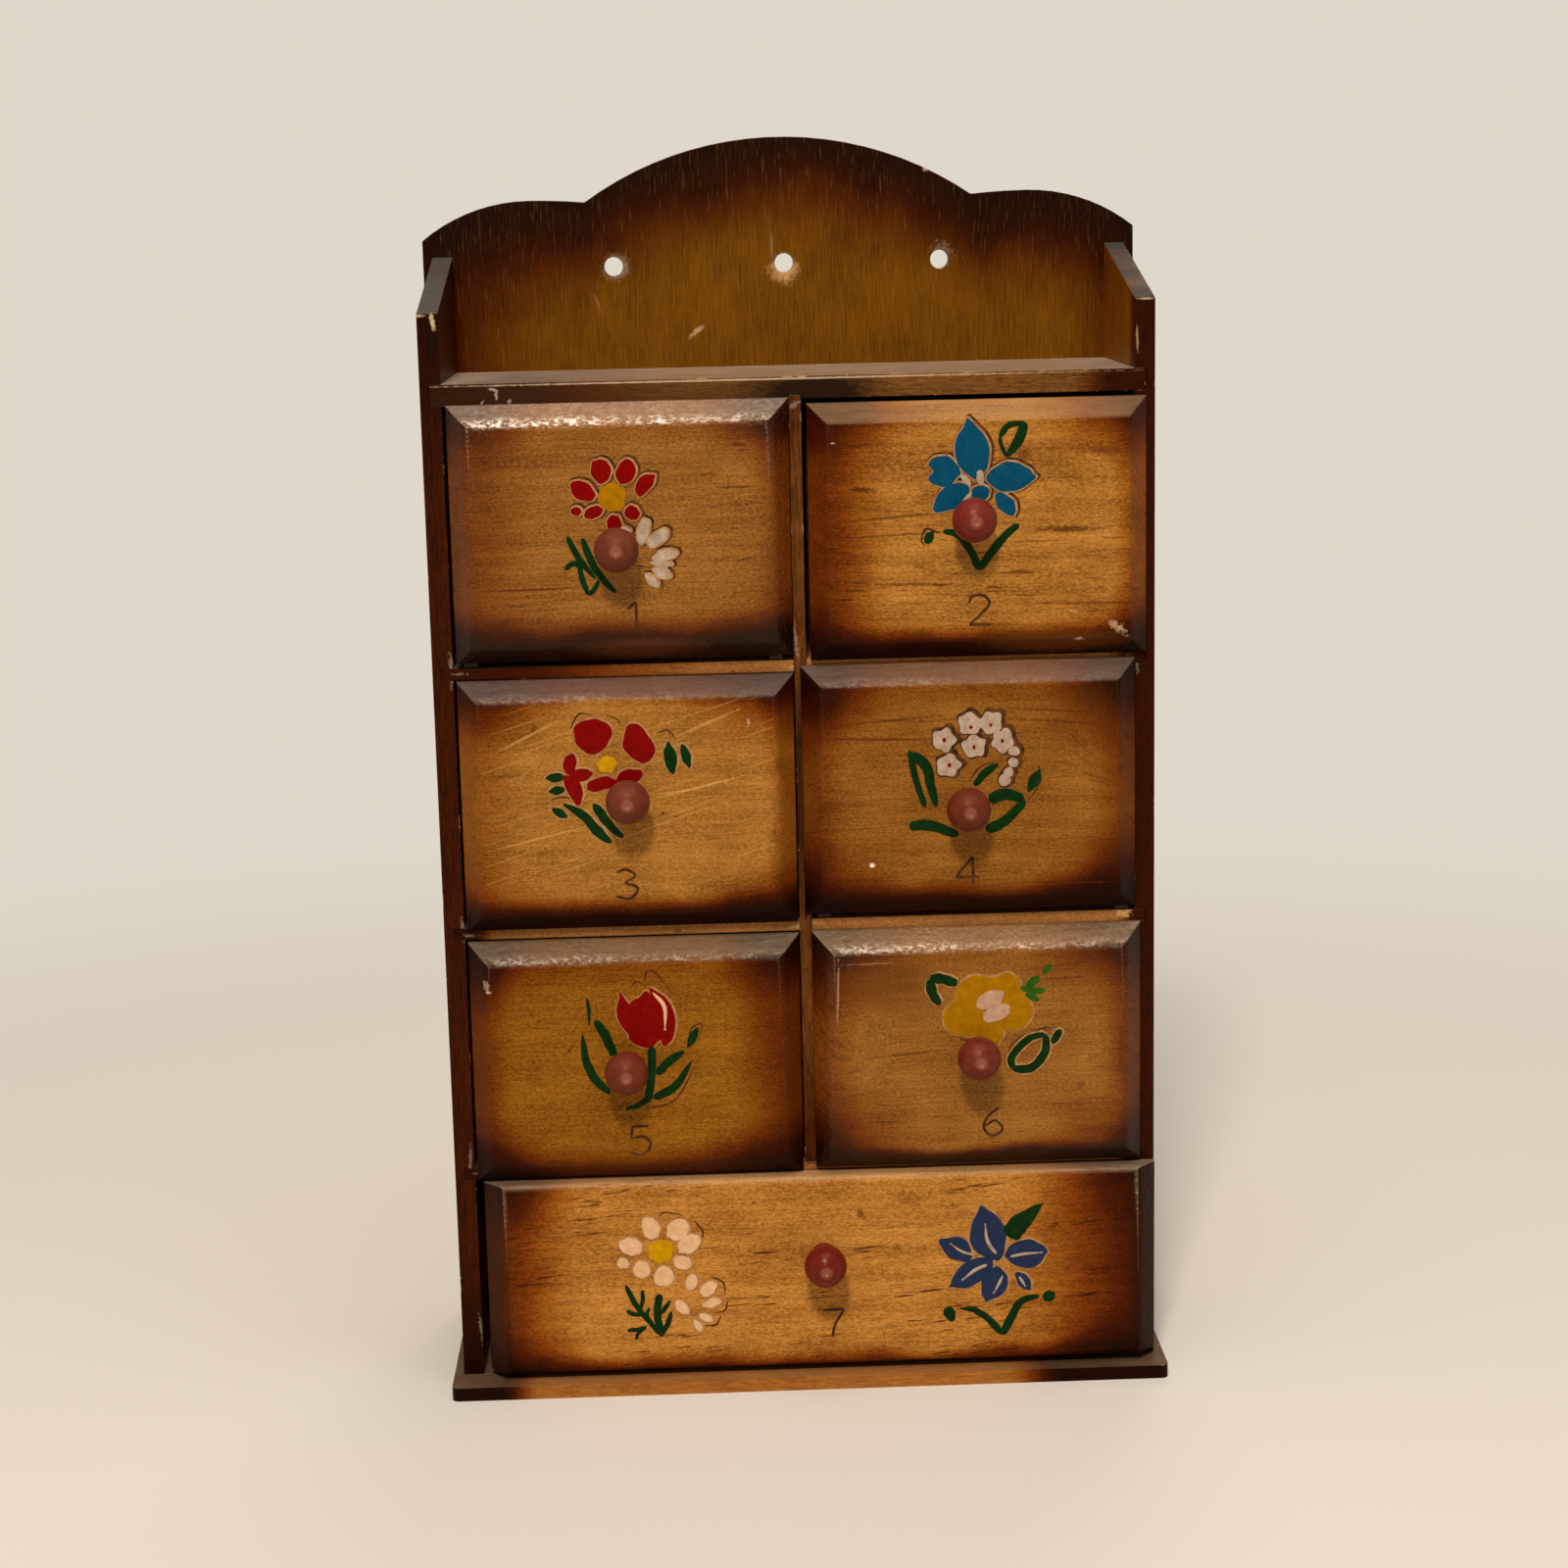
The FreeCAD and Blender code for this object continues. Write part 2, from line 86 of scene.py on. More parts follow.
class Sheet:
    """The node tree of a material, or of the world, while it is being drawn up."""

    def __init__(self, name: str, library: bpy.types.bpy_prop_collection | None = None) -> None:
        """Start an empty material, or an empty data-block of another library.

        Args:
            name: Its name.
            library: Where it is kept, if not among the materials.
        """
        library = bpy.data.materials if library is None else library
        self.material = library.new(name)
        self.material.use_nodes = True
        self.tree = self.material.node_tree
        self.tree.nodes.clear()
        self.place: Value = 0.0   # position in millimetres from the part's centre, once drawn

    def add(self, kind: str, *values: Value | None, out: int | str = 0,
            stops: Sequence[tuple[float, str]] = (),
            **named: object) -> bpy.types.NodeSocket | None:
        """Add one node with its settings and links.

        Args:
            kind: The node's type without its ShaderNode prefix, and after a blank which
                operation, blend or interpolation it has.
            values: Its inputs in order, each a socket, a number, a vector or a colour.
            out: Which output to return.
            stops: Places and colours of a colour ramp.
            named: Inputs by name, with a capital letter and _ for each blank, and the
                node's own settings, which have small letters.

        Returns:
            The chosen output socket, or nothing where the node has none.
        """
        kind, _, choice = kind.partition(" ")
        node = self.tree.nodes.new("ShaderNode" + kind)
        if choice:
            setattr(node, CHOICES.get(kind, "operation"), choice)
        for index, (place, colour) in enumerate(stops):
            elements = node.color_ramp.elements
            element = elements[index] if index < 2 else elements.new(place)
            element.position = place
            element.color = srgb(colour)
        inputs: list[tuple[int | str, Value | None]] = list(enumerate(values))
        for name, value in named.items():
            if name[0].isupper():
                inputs.append((name.replace("_", " "), value))
            else:
                setattr(node, name, value)
        for key, value in inputs:
            if isinstance(value, bpy.types.NodeSocket):
                self.tree.links.new(value, node.inputs[key])
            elif value is not None:
                value = srgb(value) if isinstance(value, str) else value
                node.inputs[key].default_value = value
        return node.outputs[out] if len(node.outputs) else None

    def patches(self, place: Value, size: Sequence[float], detail: float = 2.0,
                rough: float = 0.5) -> Value:
        """Noise around 0.5 whose patches have a size in millimetres, along X, Y and Z."""
        small = self.add("VectorMath DIVIDE", place, (*size, size[-1])[:3])
        return self.add("TexNoise", small, Scale=1.0, Detail=detail, Roughness=rough)

    def finish(self, surface: bpy.types.NodeSocket) -> bpy.types.Material:
        """Link the shader to the material's output and return the material."""
        self.add("OutputMaterial", surface)
        return self.material


@dataclass(frozen=True)
class Block:
    """A part's box at rest, in millimetres."""

    centre: Vector
    half: Vector

    @classmethod
    def of(cls, node: str) -> "Block":
        """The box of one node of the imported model."""
        low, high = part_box(node)
        return cls((low + high) / 2 / MM, (high - low) / 2 / MM)


class Grain(Enum):
    """The way a board's fibres run, as the turn that brings them onto X."""

    ACROSS = (0.0, 0.0, 0.0)
    UPRIGHT = (0.0, math.pi / 2, 0.0)
    INWARD = (0.0, 0.0, math.pi / 2)


BUNDLE_LENGTH = 28              # how many times longer a fibre bundle is than wide
BLOTCHES = 0.8                  # how much the stain takes unevenly


@dataclass(frozen=True)
class Figure:
    """What shows of the wood itself under its stain; lengths in millimetres."""

    grain: Grain = Grain.ACROSS
    seed: float = 0.0
    ring_gap: float = 5.0         # between the growth rings that reach the face
    wander: float = 1.5           # how many rings their lines stray, so that some close
    rings: float = 0.3            # how dark the thin late-wood lines are
    bands: float = 0.5            # soft lighter and darker bands between them
    fibre: float = 0.4            # width of a fibre bundle
    fibres: float = 0.75          # how much the bundles differ
    dashes: float = 0.4           # how dark the short brush-like dashes are
    dash_size: tuple[float, float] = (5.0, 0.45)
    slope: float = 0.0            # how far the dashes rise along the grain, in radians
    knot: tuple[float, float, float] | None = None   # place on the face and reach
    pore: tuple[float, float] = (0.85, 0.36)         # coarser than real pores, so that they show
    pore_depth: float = 2.0

    def along_grain(self, sheet: Sheet) -> Value:
        """Turn the place so that the grain runs along X, and bend it round the knot.

        Args:
            sheet: The material's sheet.

        Returns:
            The turned position.
        """
        place = sheet.place
        if self.knot:
            across, up, reach = self.knot
            gone = sheet.add("VectorMath DISTANCE", place, (across, 0.0, up), out=1)
            lift = sheet.add("MapRange SMOOTHERSTEP", gone, 0.0, reach, reach * 0.5, 0.0)
            push = sheet.add("CombineXYZ", 0.0, lift, lift)
            place = sheet.add("VectorMath ADD", place, push)
        shift = (self.seed * 31.7, self.seed * 17.3, self.seed * 23.9)
        return sheet.add("Mapping", place, shift, self.grain.value)

    def draw(self, sheet: Sheet) -> tuple[Value, Value]:
        """Work out how light the wood is and where it has dark lines and dashes.

        Args:
            sheet: The material's sheet.

        Returns:
            Lightness from 0 to 1, and the mask of the dark lines and dashes.
        """
        grain = self.along_grain(sheet)
        stray = sheet.patches(grain, (75.0, 13.0), 2.0, 0.45)
        height = sheet.add("SeparateXYZ", grain, out=2)
        depth = sheet.add("SeparateXYZ", grain, out=1)
        ring = sheet.add("Math MULTIPLY", sheet.add("Math ADD", height, depth), 1 / self.ring_gap)
        ring = sheet.add("Math MULTIPLY_ADD", stray, self.wander * 4, ring)
        line = sheet.add("Math PINGPONG", ring, 0.5)
        line = sheet.add("MapRange SMOOTHSTEP", line, 0.0, 0.075, self.rings, 0.0)
        shown = sheet.add("MapRange", sheet.patches(grain, (34.0, 4.0)), 0.46, 0.64)
        line = sheet.add("Math MULTIPLY", line, shown)

        tilted = sheet.add("Mapping", grain, None, (0.0, self.slope, 0.0))
        dash = sheet.patches(tilted, self.dash_size, 1.0)
        dash = sheet.add("MapRange SMOOTHSTEP", dash, 0.62, 0.74, 0.0, self.dashes)
        patch = sheet.add("MapRange", sheet.patches(grain, (26.0, 9.0), 0.0), 0.4, 0.62)
        dash = sheet.add("Math MULTIPLY", dash, patch)

        mottle = sheet.patches(grain, self.pore, 2.0, 0.7)
        light = sheet.add("Math MULTIPLY_ADD", mottle, self.pore_depth, 0.5 - self.pore_depth / 2)
        for layer, strength in (
                (sheet.patches(grain, (self.fibre * BUNDLE_LENGTH, self.fibre)), self.fibres),
                (sheet.patches(grain, (110.0, 3.2)), self.bands),
                (sheet.patches(grain, (16.0, 9.0), 3.0), BLOTCHES)):
            layer = sheet.add("Math SUBTRACT", layer, 0.5)
            light = sheet.add("Math MULTIPLY_ADD", layer, strength, light)
        return light, sheet.add("Math MAXIMUM", line, dash)


@dataclass(frozen=True)
class Mark:
    """One mark on a face: a scratch, a chip, a stain or a dab of something pale.
    A few are painted glints and one is painted shade.

    x and z are its middle on the cabinet, turn is how far it leans from level in
    degrees, and ragged is how broken its edge is.
    """

    x: float
    z: float
    length: float
    width: float
    colour: str
    turn: float = 0.0
    strength: float = 0.8
    ragged: float = 0.6

    def draw(self, sheet: Sheet, block: Block, depth: float, colour: Value) -> Value:
        """Lay the mark over a colour.

        Args:
            sheet: The material's sheet.
            block: The part's box.
            depth: How far the mark reaches in from the part's front, in millimetres.
            colour: The colour so far.

        Returns:
            The colour with the mark.
        """
        spot = (self.x - block.centre.x, -block.half.y, self.z - block.centre.z)
        gone = sheet.add("VectorMath SUBTRACT", sheet.place, spot)
        turned = sheet.add("Mapping", gone, None, (0.0, math.radians(self.turn), 0.0))
        small = sheet.add("VectorMath DIVIDE", turned, (self.length / 2, depth, self.width / 2))
        away = sheet.add("VectorMath LENGTH", small, out=1)
        broken = sheet.add("TexNoise", sheet.place, Scale=1.1, Detail=5.0, Roughness=0.7)
        broken = sheet.add("Math SUBTRACT", broken, 0.5)
        away = sheet.add("Math MULTIPLY_ADD", broken, self.ragged * 5, away)
        cover = sheet.add("MapRange", away, 0.5, 1.2, self.strength, 0.0)
        return sheet.add("MixRGB", cover, colour, self.colour)


@dataclass(frozen=True)
class Shade:
    """Dark lacquer sprayed in from one edge of a part.

    depth is how much light it takes away, from 0 to 1.  It is that dense as far in as
    solid and has faded out at reach, both in millimetres from the edge.
    """

    depth: float
    solid: float
    reach: float


@dataclass(frozen=True)
class Shading:
    """The sunburst of one part: dark lacquer from its edges inwards."""

    left: Shade | None = None
    right: Shade | None = None
    bottom: Shade | None = None
    top: Shade | None = None
    front: Shade | None = None
    corners: float = 0.0          # how much more the corners lose, where two passes meet
    corner_reach: tuple[float, float] = (26.0, 18.0)   # how far that goes in and up or down
    wobble: float = 2.0           # how far the sprayed edge wanders, in millimetres
    seed: float = 0.0

    def draw(self, sheet: Sheet, half: Vector) -> Value:
        """Work out how clear the lacquer is, from 1 down to 0 where it is black.

        Args:
            sheet: The material's sheet.
            half: Half the part's size in millimetres.

        Returns:
            The lacquer's clearness.
        """
        x, y, z = (sheet.add("SeparateXYZ", sheet.place, out=axis) for axis in range(3))
        moved = sheet.add("VectorMath ADD", sheet.place, (self.seed * 9.1, 0.0, self.seed * 5.3))
        drift = sheet.add("TexNoise", moved, Scale=0.035, Detail=3.0)
        drift = sheet.add("Math MULTIPLY_ADD", drift, self.wobble * 4, -self.wobble * 2)
        clear: Value = 1.0
        for shade, axis, sign, size in ((self.left, x, 1.0, half.x), (self.right, x, -1.0, half.x),
                                        (self.bottom, z, 1.0, half.z), (self.top, z, -1.0, half.z),
                                        (self.front, y, 1.0, half.y)):
            if shade is None:
                continue
            inward = sheet.add("Math MULTIPLY_ADD", axis, sign, size)
            inward = sheet.add("Math ADD", inward, drift)
            passed = sheet.add("MapRange SMOOTHSTEP", inward, shade.solid, shade.reach, 1.0 - shade.depth,
                               1.0)
            clear = sheet.add("Math MULTIPLY", clear, passed)
        if not self.corners:
            return clear
        meeting: Value = self.corners
        for axis, size, reach in zip((x, z), (half.x, half.z), self.corner_reach):
            inward = sheet.add("Math MULTIPLY_ADD", sheet.add("Math ABSOLUTE", axis), -1.0, size)
            inward = sheet.add("Math ADD", inward, drift)
            near = sheet.add("MapRange SMOOTHSTEP", inward, 1.0, reach, 1.0, 0.0)
            meeting = sheet.add("Math MULTIPLY", meeting, near)
        left_over = sheet.add("Math MULTIPLY_ADD", meeting, -1.0, 1.0)
        return sheet.add("Math MULTIPLY", clear, left_over)


# what the sprayed lacquer lets through, from densest to none
LACQUER_STOPS = ((0.0, "#200a02"), (0.25, "#6c3b12"), (0.5, "#b0824e"), (0.75, "#dcc6a2"),
                 (1.0, "#ffffff"))
SCRATCH_RISE = math.radians(17)
LACQUER_SPECULAR = 0.10          # satin, so that dark lacquer stays dark
LACQUER_TINT = "#ffd2a4"   # amber, so that what it reflects is warm too


class Finish:
    """What all finishes share: a sheet that knows where on the part it is."""

    def start(self, centre: Vector) -> Sheet:
        """Start the finish's sheet, with its place fixed to the part.

        Args:
            centre: The part's centre in millimetres.

        Returns:
            The sheet.
        """
        sheet = Sheet(self.name)
        own = sheet.add("TexCoord", out="Object")
        sheet.place = sheet.add("Mapping", own, -centre, None, (1 / MM,) * 3)
        return sheet

    @staticmethod
    def arris(sheet: Sheet, half: Vector) -> Value:
        """Distance from a point on a block's surface to the nearest arris, in millimetres.

        On a face one of the three inward distances is nothing, so the arris is as far
        as the smaller of the other two, which is the middle one of the three.

        Args:
            sheet: The material's sheet.
            half: Half the block's size in millimetres.

        Returns:
            The distance.
        """
        size = sheet.add("VectorMath ABSOLUTE", sheet.place)
        inward = sheet.add("VectorMath SUBTRACT", half, size)
        a, b, c = (sheet.add("SeparateXYZ", inward, out=axis) for axis in range(3))
        low = sheet.add("Math MINIMUM", a, b)
        high = sheet.add("Math MAXIMUM", a, b)
        return sheet.add("Math MAXIMUM", low, sheet.add("Math MINIMUM", high, c))


@dataclass(frozen=True)
class Stained(Finish):
    """What the stained and lacquered boards have in common."""

    figure: Figure
    shading: Shading
    pale: str
    deep: str
    line: str = "#4a1f08"          # late-wood lines and dashes
    marks: tuple[Mark, ...] = ()
    specular: float = LACQUER_SPECULAR
    mark_depth: float = 16.0       # how far marks reach in from the front
    name: str = ""
    block: Block | None = None     # the part's box, filled in when the part is made

    def clearness(self, sheet: Sheet) -> Value:
        """How much the sprayed lacquer lets through, from 1 down to 0 for black."""
        return self.shading.draw(sheet, self.block.half)

    def tones(self, sheet: Sheet) -> tuple[Value, Value]:
        """The stain's deep and pale colour."""
        return self.deep, self.pale

    def stained(self, sheet: Sheet) -> Value:
        """Draw the wood's figure, the lacquer sprayed over it and the marks on top.

        Args:
            sheet: The material's sheet.

        Returns:
            The colour.
        """
        light, lines = self.figure.draw(sheet)
        wood = sheet.add("MixRGB", light, *self.tones(sheet))
        wood = sheet.add("MixRGB", lines, wood, self.line)
        spray = sheet.add("TexNoise", sheet.place, Scale=1.7)
        spray = sheet.add("Math MULTIPLY_ADD", spray, 0.14, -0.07)
        clear = sheet.add("Math ADD", self.clearness(sheet), spray, use_clamp=True)
        tint = sheet.add("ValToRGB", clear, stops=LACQUER_STOPS)
        colour = sheet.add("MixRGB MULTIPLY", 1.0, wood, tint)
        for mark in self.marks:
            colour = mark.draw(sheet, self.block, self.mark_depth, colour)
        return colour

    def fibres(self, sheet: Sheet) -> Value:
        """Raise the fibres that show through the lacquer.

        Args:
            sheet: The material's sheet.

        Returns:
            The bump.
        """
        grain = sheet.add("Mapping", sheet.place, None, self.figure.grain.value, (0.13, 2.0, 2.0))
        height = sheet.add("TexNoise", grain, Scale=1.0, Detail=3.0)
        return sheet.add("Bump", Strength=0.5, Distance=0.06 * MM, Height=height)

    def lacquered(self, sheet: Sheet, colour: Value, rough: Value,
                  normal: Value) -> bpy.types.Material:
        """Put the colour, its gloss and its bump into one satin surface.

        Args:
            sheet: The material's sheet.
            colour: The colour.
            rough: Its roughness.
            normal: Its bump.

        Returns:
            The material.
        """
        return sheet.finish(sheet.add("BsdfPrincipled", Base_Color=colour, Roughness=rough, Normal=normal,
                                      IOR=1.5, Specular_IOR_Level=self.specular,
                                      Specular_Tint=LACQUER_TINT))


@dataclass(frozen=True)
class FrontFinish(Stained):
    """Satin nitro lacquer, sprayed dark round the edges, on honey-stained softwood.

    The eye sees finely mottled grain through a warm clear coat, a sunburst that goes
    from amber through red-brown to near black, and a broken gloss on the shoulders, which is
    partly a painted glint, with a painted sheen on the top bevels.
    """

    scratch: float = 0.0           # pale scratches that rise to the right
    peel: float = 0.3              # how unevenly the lacquer lies
    gloss: tuple[float, float] = (0.30, 0.44)
    dust_and_sheen: float = 0.5              # dust film and painted sheen on the top bevel
    dust_and_sheen_colour: str = "#a58a75"
    scuff_and_glint: float = 0.0             # lacquer crazing white along the top shoulder, and a painted glint there

    def material(self) -> bpy.types.Material:
        """Draw up the finish.

        Returns:
            The material.
        """
        sheet = self.start(self.block.centre)
        colour = self.scratched(sheet, self.stained(sheet))
        colour = self.with_dust_and_sheen(sheet, colour)
        peel = sheet.add("TexNoise", sheet.place, Scale=0.9, Detail=3.0, Roughness=0.65)
        bump = sheet.add("Bump", Strength=self.peel, Distance=0.4 * MM, Height=peel,
                         Normal=self.fibres(sheet))
        rough = sheet.add("TexNoise", sheet.place, Scale=0.25, Detail=3.0)
        rough = sheet.add("MapRange", rough, 0.3, 0.7, *self.gloss)
        return self.lacquered(sheet, colour, rough, bump)

    def scratched(self, sheet: Sheet, colour: Value) -> Value:
        """Lay thin pale scratches over the colour.

        Args:
            sheet: The material's sheet.
            colour: The colour so far.

        Returns:
            The colour with its scratches.
        """
        if not self.scratch:
            return colour
        rising = sheet.add("Mapping", sheet.place, (3.0, 0.0, 7.0), (0.0, SCRATCH_RISE, 0.0))
        lines = sheet.patches(rising, (30.0, 1.0, 0.62), 0.0)
        lines = sheet.add("MapRange", lines, 0.67, 0.78, 0.0, self.scratch)
        normal = sheet.add("NewGeometry", out="Normal")
        facing = sheet.add("MapRange", sheet.add("SeparateXYZ", normal, out=1), -0.97, -0.995)
        height = sheet.add("SeparateXYZ", sheet.place, out=2)
        clear = sheet.add("MapRange", height, -self.block.half.z + 8.0, -self.block.half.z + 16.0)
        lines = sheet.add("Math MULTIPLY", sheet.add("Math MULTIPLY", lines, facing), clear)
        return sheet.add("MixRGB", lines, colour, "#d9a55c")

    def with_dust_and_sheen(self, sheet: Sheet, colour: Value) -> Value:
        """Lay a pale film on what faces upwards: old polish and dust, and a painted sheen.

        Args:
            sheet: The material's sheet.
            colour: The colour below the film.

        Returns:
            The colour with its film.
        """
        # painted sheen: the top bevels are mixed towards a pale film that is dust and also the painted
        # reflection of the light from above
        normal = sheet.add("NewGeometry", out="Normal")
        upward = sheet.add("SeparateXYZ", normal, out=2)
        upward = sheet.add("MapRange", upward, 0.12, 0.65, 0.0, self.dust_and_sheen)
        patchy = sheet.patches(sheet.place, (9.0, 2.0, 1.3), 5.0, 0.75)
        patchy = sheet.add("MapRange", patchy, 0.3, 0.7, 0.45, 1.1)
        film = sheet.add("Math MULTIPLY", upward, patchy, use_clamp=True)
        colour = sheet.add("MixRGB", film, colour, self.dust_and_sheen_colour)
        if not self.scuff_and_glint:
            return colour
        # painted highlight: near-white flecks in the band where the key light's glint falls stand for that
        # glint as well as for crazing
        tilt = sheet.add("SeparateXYZ", normal, out=2)
        shoulder = sheet.add("MapRange SMOOTHSTEP", tilt, 0.1, 0.34)
        height = sheet.add("SeparateXYZ", sheet.place, out=2)
        past = sheet.add("MapRange SMOOTHSTEP", height, self.block.half.z - 4.4, self.block.half.z - 2.6,
                         1.0, 0.1)
        crazing_and_glint = sheet.patches(sheet.place, (1.5, 1.0, 0.7), 4.0, 0.7)
        runs = sheet.add("TexNoise", sheet.place, Scale=0.06, Detail=1.0)
        crazing_and_glint = sheet.add("MapRange", crazing_and_glint, 0.46, 0.6, 0.0, self.scuff_and_glint)
        runs = sheet.add("MapRange", runs, 0.35, 0.6, 0.25, 1.0)
        for share in (shoulder, runs, past):
            crazing_and_glint = sheet.add("Math MULTIPLY", crazing_and_glint, share)
        return sheet.add("MixRGB", crazing_and_glint, colour, "#fff2e2")


@dataclass(frozen=True)
class BoardFinish(Stained):
    """Dark walnut stain and satin lacquer on thin softwood board.

    The stain is thin enough to show amber where little was sprayed.  Arrises are rubbed
    down to pale wood in places, which also stands for a painted highlight, and what faces up
    holds a film of dust, on the sides' top slopes also a painted sheen.
    """

    mark_depth: float = 3.0
    wear: float = 0.5              # how much of the arrises is rubbed bare
    dust: float = 0.6
    dust_colour: str = "#8d7c6a"
    outer: tuple[str, str] | None = None   # deep and pale stain of a face that points right

    def tones(self, sheet: Sheet) -> tuple[Value, Value]:
        """The stain's deep and pale colour, with the outer face's own where it has them.

        Args:
            sheet: The material's sheet.

        Returns:
            The deep and the pale colour.
        """
        deep, pale = super().tones(sheet)
        if self.outer is None:
            return deep, pale
        normal = sheet.add("NewGeometry", out="Normal")
        outward = sheet.add("MapRange", sheet.add("SeparateXYZ", normal), 0.5, 0.9)
        outer_deep, outer_pale = self.outer
        return (sheet.add("MixRGB", outward, deep, outer_deep),
                sheet.add("MixRGB", outward, pale, outer_pale))

    def material(self) -> bpy.types.Material:
        """Draw up the finish.

        Returns:
            The material.
        """
        sheet = self.start(self.block.centre)
        colour = self.worn(sheet, self.stained(sheet))
        film = self.dusty(sheet)
        colour = sheet.add("MixRGB", film, colour, self.dust_colour)
        rough = sheet.add("TexNoise", sheet.place, Scale=0.3, Detail=3.0)
        rough = sheet.add("MapRange", rough, 0.3, 0.7, 0.34, 0.5)
        rough = sheet.add("Math MULTIPLY_ADD", film, 0.45, rough, use_clamp=True)
        return self.lacquered(sheet, colour, rough, self.fibres(sheet))

    def worn(self, sheet: Sheet, colour: Value) -> Value:
        """Rub the lacquer off the arrises in patches, down to pale wood, partly a painted highlight.

        Args:
            sheet: The material's sheet.
            colour: The colour before wear.

        Returns:
            The colour with bare arrises.
        """
        arris = self.arris(sheet, self.block.half)
        patch = sheet.add("TexNoise", sheet.place, Scale=0.13, Detail=5.0, Roughness=0.75)
        width = sheet.add("MapRange", patch, 0.7 - 0.25 * self.wear, 0.86 - 0.2 * self.wear, 0.0, 0.55)
        ragged = sheet.add("TexNoise", sheet.place, Scale=2.2, Detail=3.0)
        ragged = sheet.add("MapRange", ragged, 0.3, 0.7, 0.3, 1.5)
        width = sheet.add("Math MULTIPLY", width, ragged)
        # painted highlight: the pale on the arrises stands for their glint as well as for wear
        bare = sheet.add("Math MULTIPLY", sheet.add("Math SUBTRACT", width, arris), 7.0, use_clamp=True)
        return sheet.add("MixRGB", sheet.add("Math MULTIPLY", bare, 0.85), colour, "#bb9266")

    def dusty(self, sheet: Sheet) -> Value:
        """How much dust lies on what faces up, thicker towards the back and the ends.

        Args:
            sheet: The material's sheet.

        Returns:
            The dust's cover from 0 to 1.
        """
        normal = sheet.add("NewGeometry", out="Normal")
        upward = sheet.add("SeparateXYZ", normal, out=2)
        upward = sheet.add("MapRange", upward, 0.5, 0.95, 0.0, self.dust)
        x, y = (sheet.add("SeparateXYZ", sheet.place, out=axis) for axis in (0, 1))
        half = self.block.half
        backward = sheet.add("MapRange", y, -half.y, half.y, 0.6, 0.95)
        endward = sheet.add("MapRange SMOOTHSTEP", sheet.add("Math ABSOLUTE", x), half.x - 22.0,
                            half.x - 2.0, 0.0, 0.35)
        heap = sheet.add("Math ADD", backward, endward)
        patchy = sheet.add("TexNoise", sheet.place, Scale=0.12, Detail=6.0, Roughness=0.7)
        patchy = sheet.add("MapRange", patchy, 0.25, 0.75, 0.6, 1.2)
        heap = sheet.add("Math MULTIPLY", heap, patchy)
        return sheet.add("Math MULTIPLY", heap, upward, use_clamp=True)


